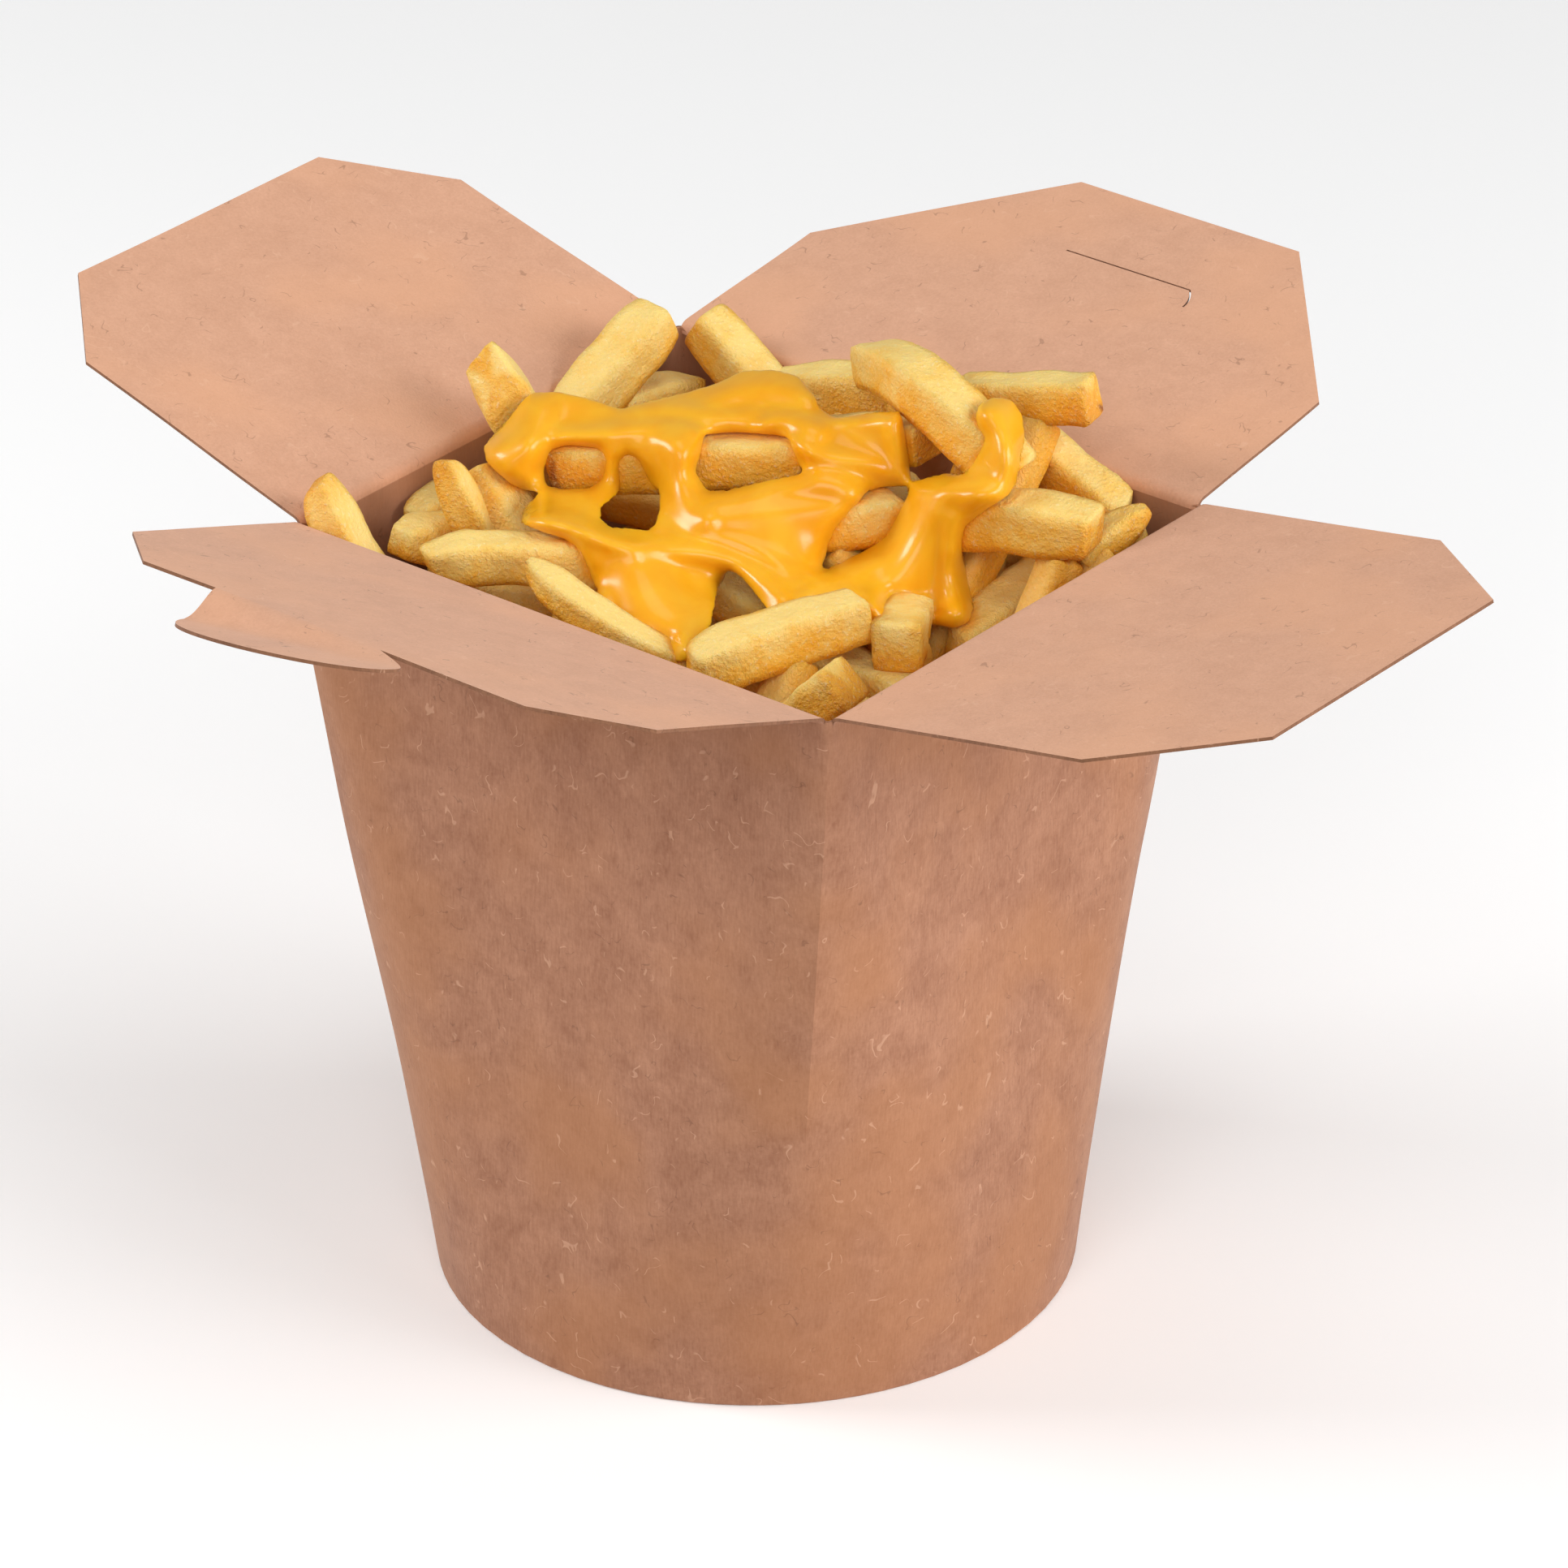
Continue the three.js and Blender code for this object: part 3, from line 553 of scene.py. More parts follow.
def creased(rings):
    """Pushes the middle of each corner out into a crease: by an exponential of the distance from
    the corner's middle, deepest just below the rim and gone at mid height."""
    height = rings[:, :1, 2:]
    depth = CREASE_DEPTH * smoothstep(height, 30, 80) * (1 - smoothstep(height, 104, 121))
    starts = np.arange(4) * (CORNER_POINTS + SIDE_POINTS)
    for corner in starts + CORNER_POINTS // 2:
        middle = rings[:, corner : corner + 1]
        away = np.linalg.norm((rings - middle)[..., :2], axis=-1, keepdims=True)
        rings = rings + unit(middle * [1, 1, 0]) * depth * np.exp(-away / CREASE_WIDTH)
    return rings


def make_cup():
    """The wall's outside up to the folds, its inside back down, and the base disc: one closed
    profile carried round the section. The board waves a little, the same on both faces, and
    rises at the corners between the folds. Its inside below the folds is marked for painted shade."""
    top = RIM_Z - FOLD_DROP
    up = np.concatenate([[0, 0.35], np.linspace(1.2, top, 56)])
    outside = wall_rings(up, 0)
    lower = np.linspace(top - 2, 1.2 + BASE_THICK, 49)
    down = np.concatenate([[top, top - 0.15], lower, [BASE_THICK]])
    inside = wall_rings(down, BOARD)
    outside[0, :, :2] *= 1 - 0.3 / BASE_RADIUS
    base_up = [outside[0] * np.array([f, f, 1]) for f in (0.25, 0.6, 0.9)]
    base_down = [inside[-1] * np.array([f, f, 1]) for f in (0.9, 0.6, 0.25)]
    rings = np.concatenate([base_up, outside, inside, base_down])
    first_inner = len(base_up) + len(outside)
    height = rings[..., 2]
    direction = unit(rings * np.array([1, 1, 0]))
    wave = noise(direction * 48 + rings * [0, 0, 0.6], 26, 3) * WALL_WAVE
    wave = wave * smoothstep(height, 2, 12) * (1 - smoothstep(height, top - 22, top - 6))
    rings = rings + direction * wave[..., None]
    at_corner = smoothstep(np.abs(rings[..., 0]), RIM_HALF_X - 3.2, RIM_HALF_X - 0.8)
    at_corner = at_corner * smoothstep(np.abs(rings[..., 1]), RIM_HALF_Y - 3.2, RIM_HALF_Y - 0.8)
    rings[..., 2] += at_corner * smoothstep(height, top - 3, top) * CORNER_RISE
    shape = skin(rings)
    ring_of = np.arange(len(shape.quads)) // rings.shape[1]
    inner = ring_of >= first_inner
    shape.slots = np.concatenate([inner.astype(int), [0] * rings.shape[1], [1] * rings.shape[1]])
    # painted shade: the inside of the wall and the base is marked to be darkened
    painted_inside_shade = np.zeros(rings.shape[:2])
    painted_inside_shade[first_inner + 1 :] = 1
    shape.values = {"painted_inside_shade": np.concatenate([painted_inside_shade.ravel(), [0, 1]])}
    return shape


# ---- flaps


def fold_and_plane(flap, distances):
    """Middle line of a flap in section, as distance out and height, with its normals: a Bezier
    curve from the wall's top round the fold, then a straight line in the flap's plane."""
    angle = math.radians(flap["angle"])
    along = np.array([math.cos(angle), math.sin(angle)])
    normal = np.array([-math.sin(angle), math.cos(angle)])
    hinge = np.array([HINGE_OUT, 0.0]) + normal * BOARD / 2
    start = np.array([-BOARD / 2, -FOLD_DROP])
    points = [start, start + [0, 1.5], hinge + along * 0.9, hinge + along * FOLD_REACH]
    t = np.linspace(0, 1, 11)[:-1, None]
    fold = sum(math.comb(3, k) * t**k * (1 - t) ** (3 - k) * points[k] for k in range(4))
    plane = hinge + along * distances[:, None]
    line = np.concatenate([fold, plane])
    slope = unit(np.gradient(line, axis=0))
    slope[0] = (0, 1)
    slope[len(fold) :] = along
    return line, np.stack([-slope[:, 1], slope[:, 0]], -1), len(fold)


def placed(points, turn, out):
    """From a flap's own frame, s along the crease, o outwards and z above the rim, to the box."""
    s, o, z = points[..., 0], points[..., 1] + out, points[..., 2] + RIM_Z
    angle = math.radians(turn)
    x = s * math.cos(angle) - o * math.sin(angle)
    y = s * math.sin(angle) + o * math.cos(angle)
    return np.stack([x, y, z], -1)


def plate_grid(flap, hinge_half, rows, columns):
    """Middle surface of a flap: rows across it, each as wide as the outline is there, and columns
    that are kept in the middle and spread towards the sides. Returns points and normals."""
    line, normals, folds = fold_and_plane(flap, rows)
    half = hinge_half - FLAP_END_TRIM
    widths = np.interp(
        rows,
        [FOLD_REACH, flap["side"], flap["full"]],
        [half, half - 0.6, half - flap["chamfer"]],
    )
    widths = np.concatenate([np.full(folds, half), widths])
    share = (np.abs(columns) - PLATE_INNER) / (half - PLATE_INNER)
    spread = np.sign(columns) * (PLATE_INNER + share * (widths[:, None] - PLATE_INNER))
    s = np.where(np.abs(columns) <= PLATE_INNER, columns, spread)
    points = np.stack(
        [s, np.broadcast_to(line[:, :1], s.shape), np.broadcast_to(line[:, 1:], s.shape)], -1
    )
    up = np.stack([np.zeros(len(line)), normals[:, 0], normals[:, 1]], -1)[:, None]
    return points, np.broadcast_to(up, points.shape), folds


def board_columns(hinge_half):
    """Places of a flap's columns along its crease, with a pair at each end of the slit."""
    side = np.linspace(PLATE_INNER, hinge_half - FLAP_END_TRIM, 12)
    gap = [SLOT_HALF - SLOT_GAP, SLOT_HALF]
    middle = np.linspace(-12, 12, 17)
    return np.concatenate([-side[::-1], -np.array(gap[::-1]), middle, gap, side])


def warped(points, normals, seed):
    """A soft warp of the board along its normal, none at the crease."""
    away = smoothstep(points[..., 1], 6, 30)
    amount = noise(points * [1, 1, 0] + seed * 50, 38, seed) * 0.35 * away
    return points + normals * amount[..., None]


def slit_rows(flap):
    """Distances of the rows beyond a flap's sides, with some at both edges of the slit."""
    hook = SLOT_DISTANCE - SLOT_HOOK
    return np.concatenate(
        [
            np.linspace(flap["side"], hook, 5)[1:-1],
            np.linspace(hook, SLOT_DISTANCE - SLOT_GAP, 6),
            np.linspace(SLOT_DISTANCE, flap["full"], 7),
        ]
    )


def cut_slit(points, rows, columns):
    """The cells that stay when the slit is cut: a straight cut, and a hook at its end that curves
    to the middle by the square of the distance. Points round the hook move with it."""
    kept = np.ones((points.shape[0] - 1, points.shape[1] - 1), bool)
    hook = SLOT_DISTANCE - SLOT_HOOK
    edge = SLOT_DISTANCE - SLOT_GAP
    in_cut = np.isclose(rows[:-1], edge)
    in_hook = (rows[:-1] > hook - 0.01) & (rows[:-1] < edge - 0.01)
    between = (columns[:-1] + columns[1:]) / 2
    across = (between > SLOT_START) & (between < SLOT_HALF)
    kept[np.ix_(in_cut, across)] = False
    kept[np.ix_(in_hook, across & (between > SLOT_HALF - SLOT_GAP))] = False
    bend = 2.1 * np.clip((rows - hook) / SLOT_HOOK, 0, 1) ** 2
    bend = bend * (1 - smoothstep(rows, SLOT_DISTANCE, SLOT_DISTANCE + 4))
    moved = (np.abs(columns) > 14) & (np.abs(columns) < SLOT_HALF + 0.1)
    points[..., 0] -= np.sign(columns) * moved * bend[:, None]
    return kept


def make_flap(flap, hinge_half, out, turn, seed, slit=False, tab=False):
    """A flap with its fold: a board of even thickness over its middle surface, with the slit's
    cells left out, or with the tab on its far edge."""
    upper = slit_rows(flap) if slit else np.linspace(flap["side"], flap["full"], 9)[1:]
    rows = np.concatenate([np.linspace(FOLD_REACH, flap["side"], 13), upper])
    columns = board_columns(hinge_half)
    points, normals, folds = plate_grid(flap, hinge_half, rows, columns)
    kept = None
    if slit:
        kept = cut_slit(points, np.concatenate([np.full(folds, -99.0), rows]), columns)
    points = warped(points, normals, seed)
    shapes = [slab(*both_faces(points, normals), kept)]
    if tab:
        shapes.append(make_tab(flap, seed))
    for shape in shapes:
        shape.points = placed(shape.points, turn, out)
    return joined(shapes)


def both_faces(points, normals):
    """The board's two faces, half its thickness to each side of its middle surface."""
    return points + normals * BOARD / 2, points - normals * BOARD / 2


def make_tab(flap, seed):
    """The tab: rows across its width from the flap's edge to its round end. Each side runs out to
    a hook by a quarter sine and then round to the end, and the far side droops."""
    end_rows = 1 - (1 - TAB_NECK) * (1 - np.linspace(0, 1, 16)[1:]) ** 1.7
    reach = np.concatenate([np.linspace(0, TAB_NECK, 9), end_rows])
    centre = sum(TAB["tip"]) / 2
    edges = []
    for neck, tip in zip(TAB["neck"], TAB["tip"]):
        hook = neck + (tip - neck) * quarter_sine(reach / TAB_NECK)
        round_end = np.clip((reach - TAB_NECK) / (1 - TAB_NECK), 0, 1)
        edges.append(centre + (hook - centre) * np.sqrt(np.maximum(1 - round_end**2.4, 0.004)))
    share = np.linspace(0, 1, 25)
    s = edges[0][:, None] + (edges[1] - edges[0])[:, None] * share
    v = np.broadcast_to((flap["full"] + TAB["length"] * reach)[:, None], s.shape)
    across = (s - TAB["tip"][0]) / (TAB["tip"][1] - TAB["tip"][0])
    down = TAB["droop"] * across * smoothstep(v, flap["full"], flap["full"] + 7)
    angle = math.radians(flap["angle"])
    o = HINGE_OUT + v * math.cos(angle) - (BOARD / 2 - down) * math.sin(angle)
    z = v * math.sin(angle) + (BOARD / 2 - down) * math.cos(angle)
    points = np.stack([s, o, z], -1)
    normals = np.broadcast_to([0, -math.sin(angle), math.cos(angle)], points.shape)
    return slab(*both_faces(warped(points, normals, seed), normals))


# ---- fries


class Fry:
    """A fry: axis points from its first to its last end, thickness, how brown each end is, how
    much the first end narrows and slants, how much paler it is than others, how much painted
    shade it takes for lying deep in the heap, from 0 to 1, and whether it lies over the sauce."""

    def __init__(
        self, path, cut, brown, last_brown, tip=0.85, slant=None, pale=0.0, heap_depth_shade=0.0, over=False
    ):
        self.path = np.array(path, float)
        self.cut = cut
        self.brown = (brown, last_brown)
        self.tip = tip
        self.slant = slant
        self.pale = pale
        self.heap_depth_shade = heap_depth_shade
        self.over = over


# The fries that show.
TOP_FRIES = [
    Fry([(-44.5, 33, 130), (-45.5, 8, 117)], 7.4, 0.25, 0.2),
    Fry([(-41, 38.5, 128), (-18, 39, 111.5)], 7.0, 0.45, 0.2, tip=0.8),
    Fry([(-42, 36.5, 116.5), (-45, 22, 117.5)], 6.6, 0.4, 0.3),
    Fry(
        [(-45.8, -4.7, 133.8), (-41, 1, 118), (-38, 3, 108)], 8.4, 0.15, 0.2,
        tip=0.74, slant=-0.85, pale=0.35,
    ),
    Fry([(-48.2, -40.6, 128.9), (-39.5, -38.5, 112), (-33, -35, 96)], 6.4, 0.8, 0.2, tip=0.6),
    Fry([(-40, -32.5, 118.6), (-39, -15, 113)], 6.6, 0.3, 0.3, tip=0.7),
    Fry([(-46, -22, 116), (-46, -10, 116.5)], 5.6, 0.5, 0.3, tip=0.7),
    Fry([(-37, -25, 130), (-34, -23.5, 121), (-31, -21, 113)], 5.0, 0.7, 0.3, tip=0.5),
    Fry([(-40, -14, 123.5), (-25, -15, 109)], 7.0, 0.9, 0.5),
    Fry([(-31, -36, 119.5), (-22, -28, 120), (-10, -17, 117.5)], 6.8, 0.4, 0.2, tip=0.6),
    Fry([(-36, -30, 111.5), (-14, -14, 107)], 6.8, 0.3, 0.3),
    Fry([(-17, -30, 121.3), (-4, -31, 117.3), (12, -24, 109.5)], 4.8, 0.6, 0.3, tip=0.4, over=True),
    Fry([(14, -30, 114.3), (25, -5, 116.5)], 7.3, 0.35, 0.35, tip=0.75, over=True),
    Fry([(32, -6, 113.5), (25, 6, 112)], 7.4, 0.35, 0.2, tip=0.95, over=True),
    Fry([(35, -21, 115.3), (25, -22.5, 105)], 7.2, 0.5, 0.2, tip=0.95, over=True),
    Fry([(13, -5, 107.3), (40, -6, 106)], 6.8, 0.3, 0.3),
    Fry([(11, -15, 105.5), (34, -15.5, 105)], 6.8, 0.3, 0.3),
    Fry([(32, 8, 107.6), (31, 38, 110.2)], 7.4, 0.3, 0.3),
    Fry([(20, 19, 121), (33, 20.5, 124), (45, 24, 124.5)], 7.6, 0.2, 0.5, tip=0.9),
    Fry([(46.3, 35, 124.5), (42, 26, 118.5)], 4.6, 0.7, 0.4, tip=0.35),
    Fry([(38, 26, 112.8), (45, 37, 118.5)], 6.2, 0.3, 0.4),
    Fry([(17, 39, 127), (39, 39, 118.2)], 7.0, 0.3, 0.3),
    Fry([(12, 34.5, 132.3), (33, 39, 136.6)], 6.4, 0.3, 0.7, tip=0.95),
    Fry([(-6, 35, 132), (15, 24, 137.5), (29, 25, 128.5)], 7.4, 0.5, 0.2, tip=0.6),
    Fry([(-23, 36, 122.5), (-3, 39, 126.7)], 7.2, 0.2, 0.3),
    Fry([(-9, 17, 124.5), (15, 24, 130.5)], 7.0, 0.2, 0.55, tip=0.95),
    Fry([(-33.4, -7.2, 123.8), (0.8, 13, 127)], 7.6, 2.4, 0.25),
    Fry([(6, 7, 113.3), (7, 31, 115.3)], 7.0, 0.3, 0.3),
    Fry([(-8, -1, 110.3), (6, -2, 108.3)], 6.8, 0.3, 0.3),
    Fry([(14, 36, 109.3), (24, 24, 105.5)], 6.8, 0.3, 0.3),
    Fry([(-4, -3, 119.6), (15, 17, 121)], 7.0, 0.3, 0.3),
]


def stretches(fry):
    """Straight stretches of a fry's axis, as (from, to, cut)."""
    return [(a, b, fry.cut) for a, b in zip(fry.path[:-1], fry.path[1:])]


def closeness(run, others):
    """How near a stretch is to each of the others: the shortest distance between nine places on
    each, as a share of the distance at which the two fries would just touch."""
    if not others:
        return np.array([np.inf])
    share = np.linspace(0, 1, 9)[:, None]
    mine = run[0] * (1 - share) + run[1] * share
    starts = np.array([other[0] for other in others])[:, None]
    ends = np.array([other[1] for other in others])[:, None]
    theirs = starts * (1 - share) + ends * share
    away = np.linalg.norm(mine[None, :, None] - theirs[:, None], axis=-1).min((1, 2))
    cuts = np.array([other[2] for other in others])
    return away / ((cuts + run[2]) / 2)


def inside_rim(point):
    """Whether a point is far enough from the wall for a fry's end."""
    return abs(point[0]) < RIM_HALF_X - 5.5 and abs(point[1]) < RIM_HALF_Y - 5


def drop_fries(top):
    """Fries below the top ones: each is dropped at a drawn place and heading, raised until it
    rests on the core or an earlier one, and kept where it touches none of the top fries."""
    laid = []
    for n in range(FILL_TRIES):
        if len(laid) == FILL_COUNT:
            break
        heading = draw(5 * n) * math.pi
        reach = 14 + 9 * draw(5 * n + 1)
        x = (draw(5 * n + 2) - 0.5) * 84
        y = (draw(5 * n + 3) - 0.5) * 74
        tilt = (draw(5 * n + 4) - 0.5) * 7
        half = np.array([reach * math.cos(heading), reach * math.sin(heading), tilt])
        middle = np.array([x, y, CORE_TOP + 1])
        if not inside_rim(middle + half) or not inside_rim(middle - half):
            continue
        while True:
            middle[2] += 1
            run = (middle - half, middle + half, FILL_CUT)
            if closeness(run, laid).min() >= 0.85 or middle[2] >= FILL_TOP:
                break
        if middle[2] < FILL_TOP and closeness(run, top).min() > 0.95:
            laid.append(run)
    return laid


def prop_fries(top, laid):
    """A top fry that touches nothing yet gets a slanting fry from its underside to the core, in
    the direction that stays clearest of the other top fries."""
    props = []
    for fry in sorted(TOP_FRIES, key=lambda fry: fry.path[-1][2]):
        own = stretches(fry)
        if min(closeness(run, laid + props).min() for run in own) < 0.8:
            continue
        start, end, cut = own[-1]
        head = start * 0.4 + end * 0.6 - [0, 0, cut * 0.55]
        drop = head[2] - CORE_TOP
        if drop < 0:
            continue
        mine = [tuple(run[0]) for run in own]
        others = [run for run in top if tuple(run[0]) not in mine]
        best = None
        for step in range(24):
            heading = step * math.pi / 12
            spread = drop * (0.5 if step % 2 else 1)
            foot = head + [math.cos(heading) * spread, math.sin(heading) * spread, 0]
            foot[2] = CORE_TOP - 1
            if not inside_rim(foot):
                continue
            room = closeness((foot, head, FILL_CUT), others).min()
            if best is None or room > best[0]:
                best = (room, (foot, head, FILL_CUT))
        if best:
            props.append(best[1])
    return props


def axis_points(path, shares):
    """Points of the axis through two or three points, at those shares of its length."""
    shares = np.asarray(shares, float)
    if len(path) == 2:
        return lagrange(path, (0, 1), shares)
    first, second = np.linalg.norm(np.diff(path, axis=0), axis=1)
    return lagrange(path, (0, first / (first + second), 1), shares)


def make_fry(fry, index, around, along):
    """One fry: a section carried along the axis, the superellipse (|cos|^p + |sin|^p)^(-1/p) that
    is slightly hollow on its faces. It narrows towards the first end, bends and twists a little,
    is cut on a slant at both ends and has a blistered skin."""
    length = np.linalg.norm(np.diff(fry.path, axis=0), axis=1).sum()
    inner = np.linspace(FRY_RIM / length, 1 - FRY_RIM / length, along)
    cap = (1 - np.cos(np.linspace(0, math.pi / 2, 6)[:-1])) * FRY_RIM / length
    shares = np.concatenate([cap, inner, 1 - cap[::-1]])
    centre = axis_points(fry.path, shares)
    slope = unit(np.gradient(centre, axis=0))
    side, over = crossways(slope)
    bend = (draw(900 + index) - 0.5) * FRY_BEND if len(fry.path) == 2 else 0
    centre = centre + side * (bend * np.sin(shares * math.pi))[:, None]
    from_ends = (shares * length, (1 - shares) * length)
    corner = quarter_circle(np.minimum(shares, 1 - shares) * length / FRY_RIM)
    narrow = fry.tip + (1 - fry.tip) * quarter_sine(shares * length / FRY_TAPER)
    swell = 1 + 0.05 * np.sin(shares * 5 + index) + 0.03 * np.sin(shares * 13 + index * 2)
    size = fry.cut * narrow * swell * (0.78 + 0.22 * corner)
    turn = np.linspace(0, 2 * math.pi, around, endpoint=False)
    turn = turn - 0.11 * np.sin(4 * turn)
    square = np.abs(np.cos(turn)) ** FRY_POWER + np.abs(np.sin(turn)) ** FRY_POWER
    radius = square ** (-1 / FRY_POWER)
    hollow = 1.02 - 0.03 * np.cos(2 * turn) ** 2
    twist = (draw(700 + index) - 0.5) * FRY_TWIST * (shares - 0.5)
    across = (0.5 * radius * hollow * np.cos(turn))[None] * size[:, None]
    upward = (0.5 * radius * hollow * np.sin(turn))[None] * size[:, None]
    cos, sin = np.cos(twist)[:, None], np.sin(twist)[:, None]
    a, b = across * cos - upward * sin, across * sin + upward * cos
    out = side[:, None] * a[..., None] + over[:, None] * b[..., None]
    rings = centre[:, None] + out
    for end, from_end in enumerate(from_ends):
        slant = (draw(600 + 2 * index + end) - 0.5) * FRY_SLANT
        if end == 0 and fry.slant is not None:
            slant = fry.slant
        fade = max(2.2, abs(slant) * fry.cut * 0.6)
        lean_in = slant * np.exp(-from_end / fade)[:, None] * (a + 0.5 * b)
        rings = rings + slope[:, None] * lean_in[..., None]
    skin_noise = sum(noise(rings, grain, index % n) * height for grain, height, n in BLISTERS)
    rings = rings + unit(out) * skin_noise[..., None]
    shape = skin(rings)
    level = np.sqrt(1 - slope[:, 2:] ** 2)
    # painted shade: the side of a fry that faces down is marked to be deeper in colour
    low = (0.5 - upward / size[:, None]) * level + 0.3 * (1 - level)
    crisp, tone = fry_browning(fry, index, rings, turn, radius, from_ends)
    first, last = fry.brown
    shape.values = {
        "crisp": np.concatenate([crisp.ravel(), [first * 0.8, last * 0.8]]),
        "tone": np.concatenate([tone.ravel(), [0.5, 0.5]]),
        "low": np.concatenate([low.ravel(), [0.5, 0.5]]),
        "heap_depth_shade": np.full(len(shape.points), fry.heap_depth_shade),
    }
    return shape


def fry_browning(fry, index, rings, turn, radius, from_ends):
    """How crisp each point of a fry is, by an exponential of the distance from its ends and on
    its edges, and its tone, which differs at random between its four faces, with the top face
    kept paler than the others: painted light and shade."""
    edge = np.broadcast_to(smoothstep(radius, 1.1, 1.24)[None], rings.shape[:2])
    first, last = fry.brown
    at_end = first * np.exp(-from_ends[0] / BROWN_REACH) + last * np.exp(-from_ends[1] / BROWN_REACH)
    patch = noise(rings, 2.2, index % 3 + 9) * 0.5 + 0.5
    crisp = at_end[:, None] * (0.55 + 0.6 * patch) + edge * 0.35 * (0.4 + patch)
    lean = np.maximum(np.stack([np.cos(turn), np.sin(turn), -np.cos(turn), -np.sin(turn)]), 0) ** 8
    faces = [0.35 + 0.65 * draw(300 + 4 * index + k) for k in range(4)]
    # painted light and shade: the top face's tone is cut, so it is paler than the sides
    faces[1] *= 0.35
    face = (np.array(faces) @ lean) / lean.sum(0)
    tone = np.broadcast_to(face, rings.shape[:2]) * 0.85 + 0.3 * (draw(500 + index) - 0.4)
    return crisp, tone - fry.pale


def make_core():
    """Core of the heap below the loose fries: sections of the wall's inside, closed by a bumpy
    top that rises a little to the middle."""
    heights = np.linspace(BASE_THICK + 0.4, CORE_TOP - 4, 12)
    rings = list(wall_rings(heights, BOARD + 0.4))
    shoulder = rings[-1]
    for shrink in (0.97, 0.9, 0.8, 0.68, 0.55, 0.4, 0.25, 0.1):
        ring = shoulder * [shrink, shrink, 1]
        ring[:, 2] = CORE_TOP - 1 + 3.4 * (1 - shrink) + noise(ring, 7, 5) * 2.2
        rings.append(ring)
    shape = skin(np.array(rings))
    # painted shade: the core takes the most, as the deepest part of the heap
    levels = {"crisp": 0.5, "tone": 0.9, "low": 0.5, "heap_depth_shade": 1.0}
    shape.values = {name: np.full(len(shape.points), level) for name, level in levels.items()}
    return shape


def camera_axes():
    """The camera's right, up and backward directions, from its azimuth, height and roll."""
    level = math.cos(CAMERA_HEIGHT)
    back = [math.sin(CAMERA_TURN) * level, -math.cos(CAMERA_TURN) * level, math.sin(CAMERA_HEIGHT)]
    right, up = crossways(np.array(back))
    cos, sin = math.cos(CAMERA_ROLL), math.sin(CAMERA_ROLL)
    return np.array([right * cos + up * sin, up * cos - right * sin, back])


# ---- cheese sauce

# Folds of the sauce in the camera's view, in millimetres to the right and up from its middle at
# VIEW_REACH, each point with the fold's half width and height there.
SAUCE_FOLDS = [
    [(-37.1, 38.3, 2, 1.4), (-30.8, 37.8, 2.1, 2), (-24.6, 35.4, 2.2, 2.2), (-19.8, 34.7, 2.2, 2.2)],
    [(-19.8, 34.7, 2.2, 2.2), (-13.8, 34.2, 2.2, 2.1), (-7.9, 32.5, 2.1, 2), (-0.1, 27.4, 2, 1.6)],
    [(-15, 37.2, 1, 0.6), (-7.9, 35.8, 1, 0.8), (-2.5, 33.6, 1, 0.8), (0.6, 31, 1, 0.6)],
    [(-22.1, 34.2, 4.5, 1), (-20.5, 30.6, 5.5, 2), (-18.2, 25.8, 6, 2.4), (-15.6, 20.4, 5, 1.8)],
    [(-12, 42, 2.2, 1.2), (-1.9, 44, 2.6, 1.8), (5.5, 44.6, 2.6, 1.8), (11.2, 42.7, 2.4, 1.4)],
    [(-18, 52, 3.2, 1.2), (-15.3, 47.8, 3.6, 2.4), (-14.8, 43.6, 3.6, 2.4), (-12.4, 38.9, 3.4, 1.4)],
    [(-36.2, 55, 4, 2), (-38.5, 51.4, 4.6, 2.8), (-40, 46.8, 4, 2.4)],
    [(-32.9, 51.2, 1.8, 1.2), (-24.6, 51.9, 1.9, 1.6), (-17.4, 52.7, 1.9, 1.6),
     (-12.2, 51.2, 1.8, 1.3)],
    [(-10.3, 56.5, 2.4, 1.4), (-5.5, 58, 2.6, 2), (-0.7, 58, 2.6, 2), (4.1, 56.5, 2.3, 1.5)],
    [(-23.4, 54, 1.6, 0.8), (-16.2, 55.2, 1.8, 1.4), (-10.3, 54.4, 1.7, 1.2), (-4.3, 55, 1.6, 1)],
    [(-3.1, 52.8, 1.7, 1.1), (-0.1, 53.8, 1.9, 1.6), (4.1, 52.8, 1.8, 1.5), (5.5, 51.5, 1.6, 1)],
    [(6.4, 52.8, 1.5, 0.8), (11.2, 53.4, 1.6, 1), (16.6, 53.6, 1.6, 1)],
    [(15.8, 52.5, 1.5, 1), (16.7, 49, 1.5, 1.4), (17, 45.6, 1.5, 1.2)],
    [(1.1, 50.2, 1.6, 1), (5.2, 48.2, 1.8, 1.5), (10.6, 47.3, 1.8, 1.5), (14.8, 45.8, 1.6, 1)],
    [(29.1, 55.4, 2.8, 1.4), (32.2, 52.8, 3.2, 2.2), (32.9, 48.4, 3.2, 2.4), (31.4, 43.9, 3, 1.6)],
    [(19, 42.6, 3, 1.6), (22.8, 43.4, 3.6, 2.4), (27.9, 43.4, 3.6, 2.4), (32, 42.4, 3, 1.2)],
    [(22.5, 41.3, 3.6, 1.6), (19.8, 36.5, 4.2, 2.4), (17.6, 31.1, 4.4, 2.6), (15.2, 26.2, 3.6, 2)],
    [(24.6, 38.9, 2.2, 1.2), (24, 32.9, 2.4, 1.6), (25.4, 26, 2.4, 1.4)],
    [(17.2, 32.5, 2, 1.4), (10, 31, 2, 1.6), (3.5, 28.2, 1.8, 1.3)],
]
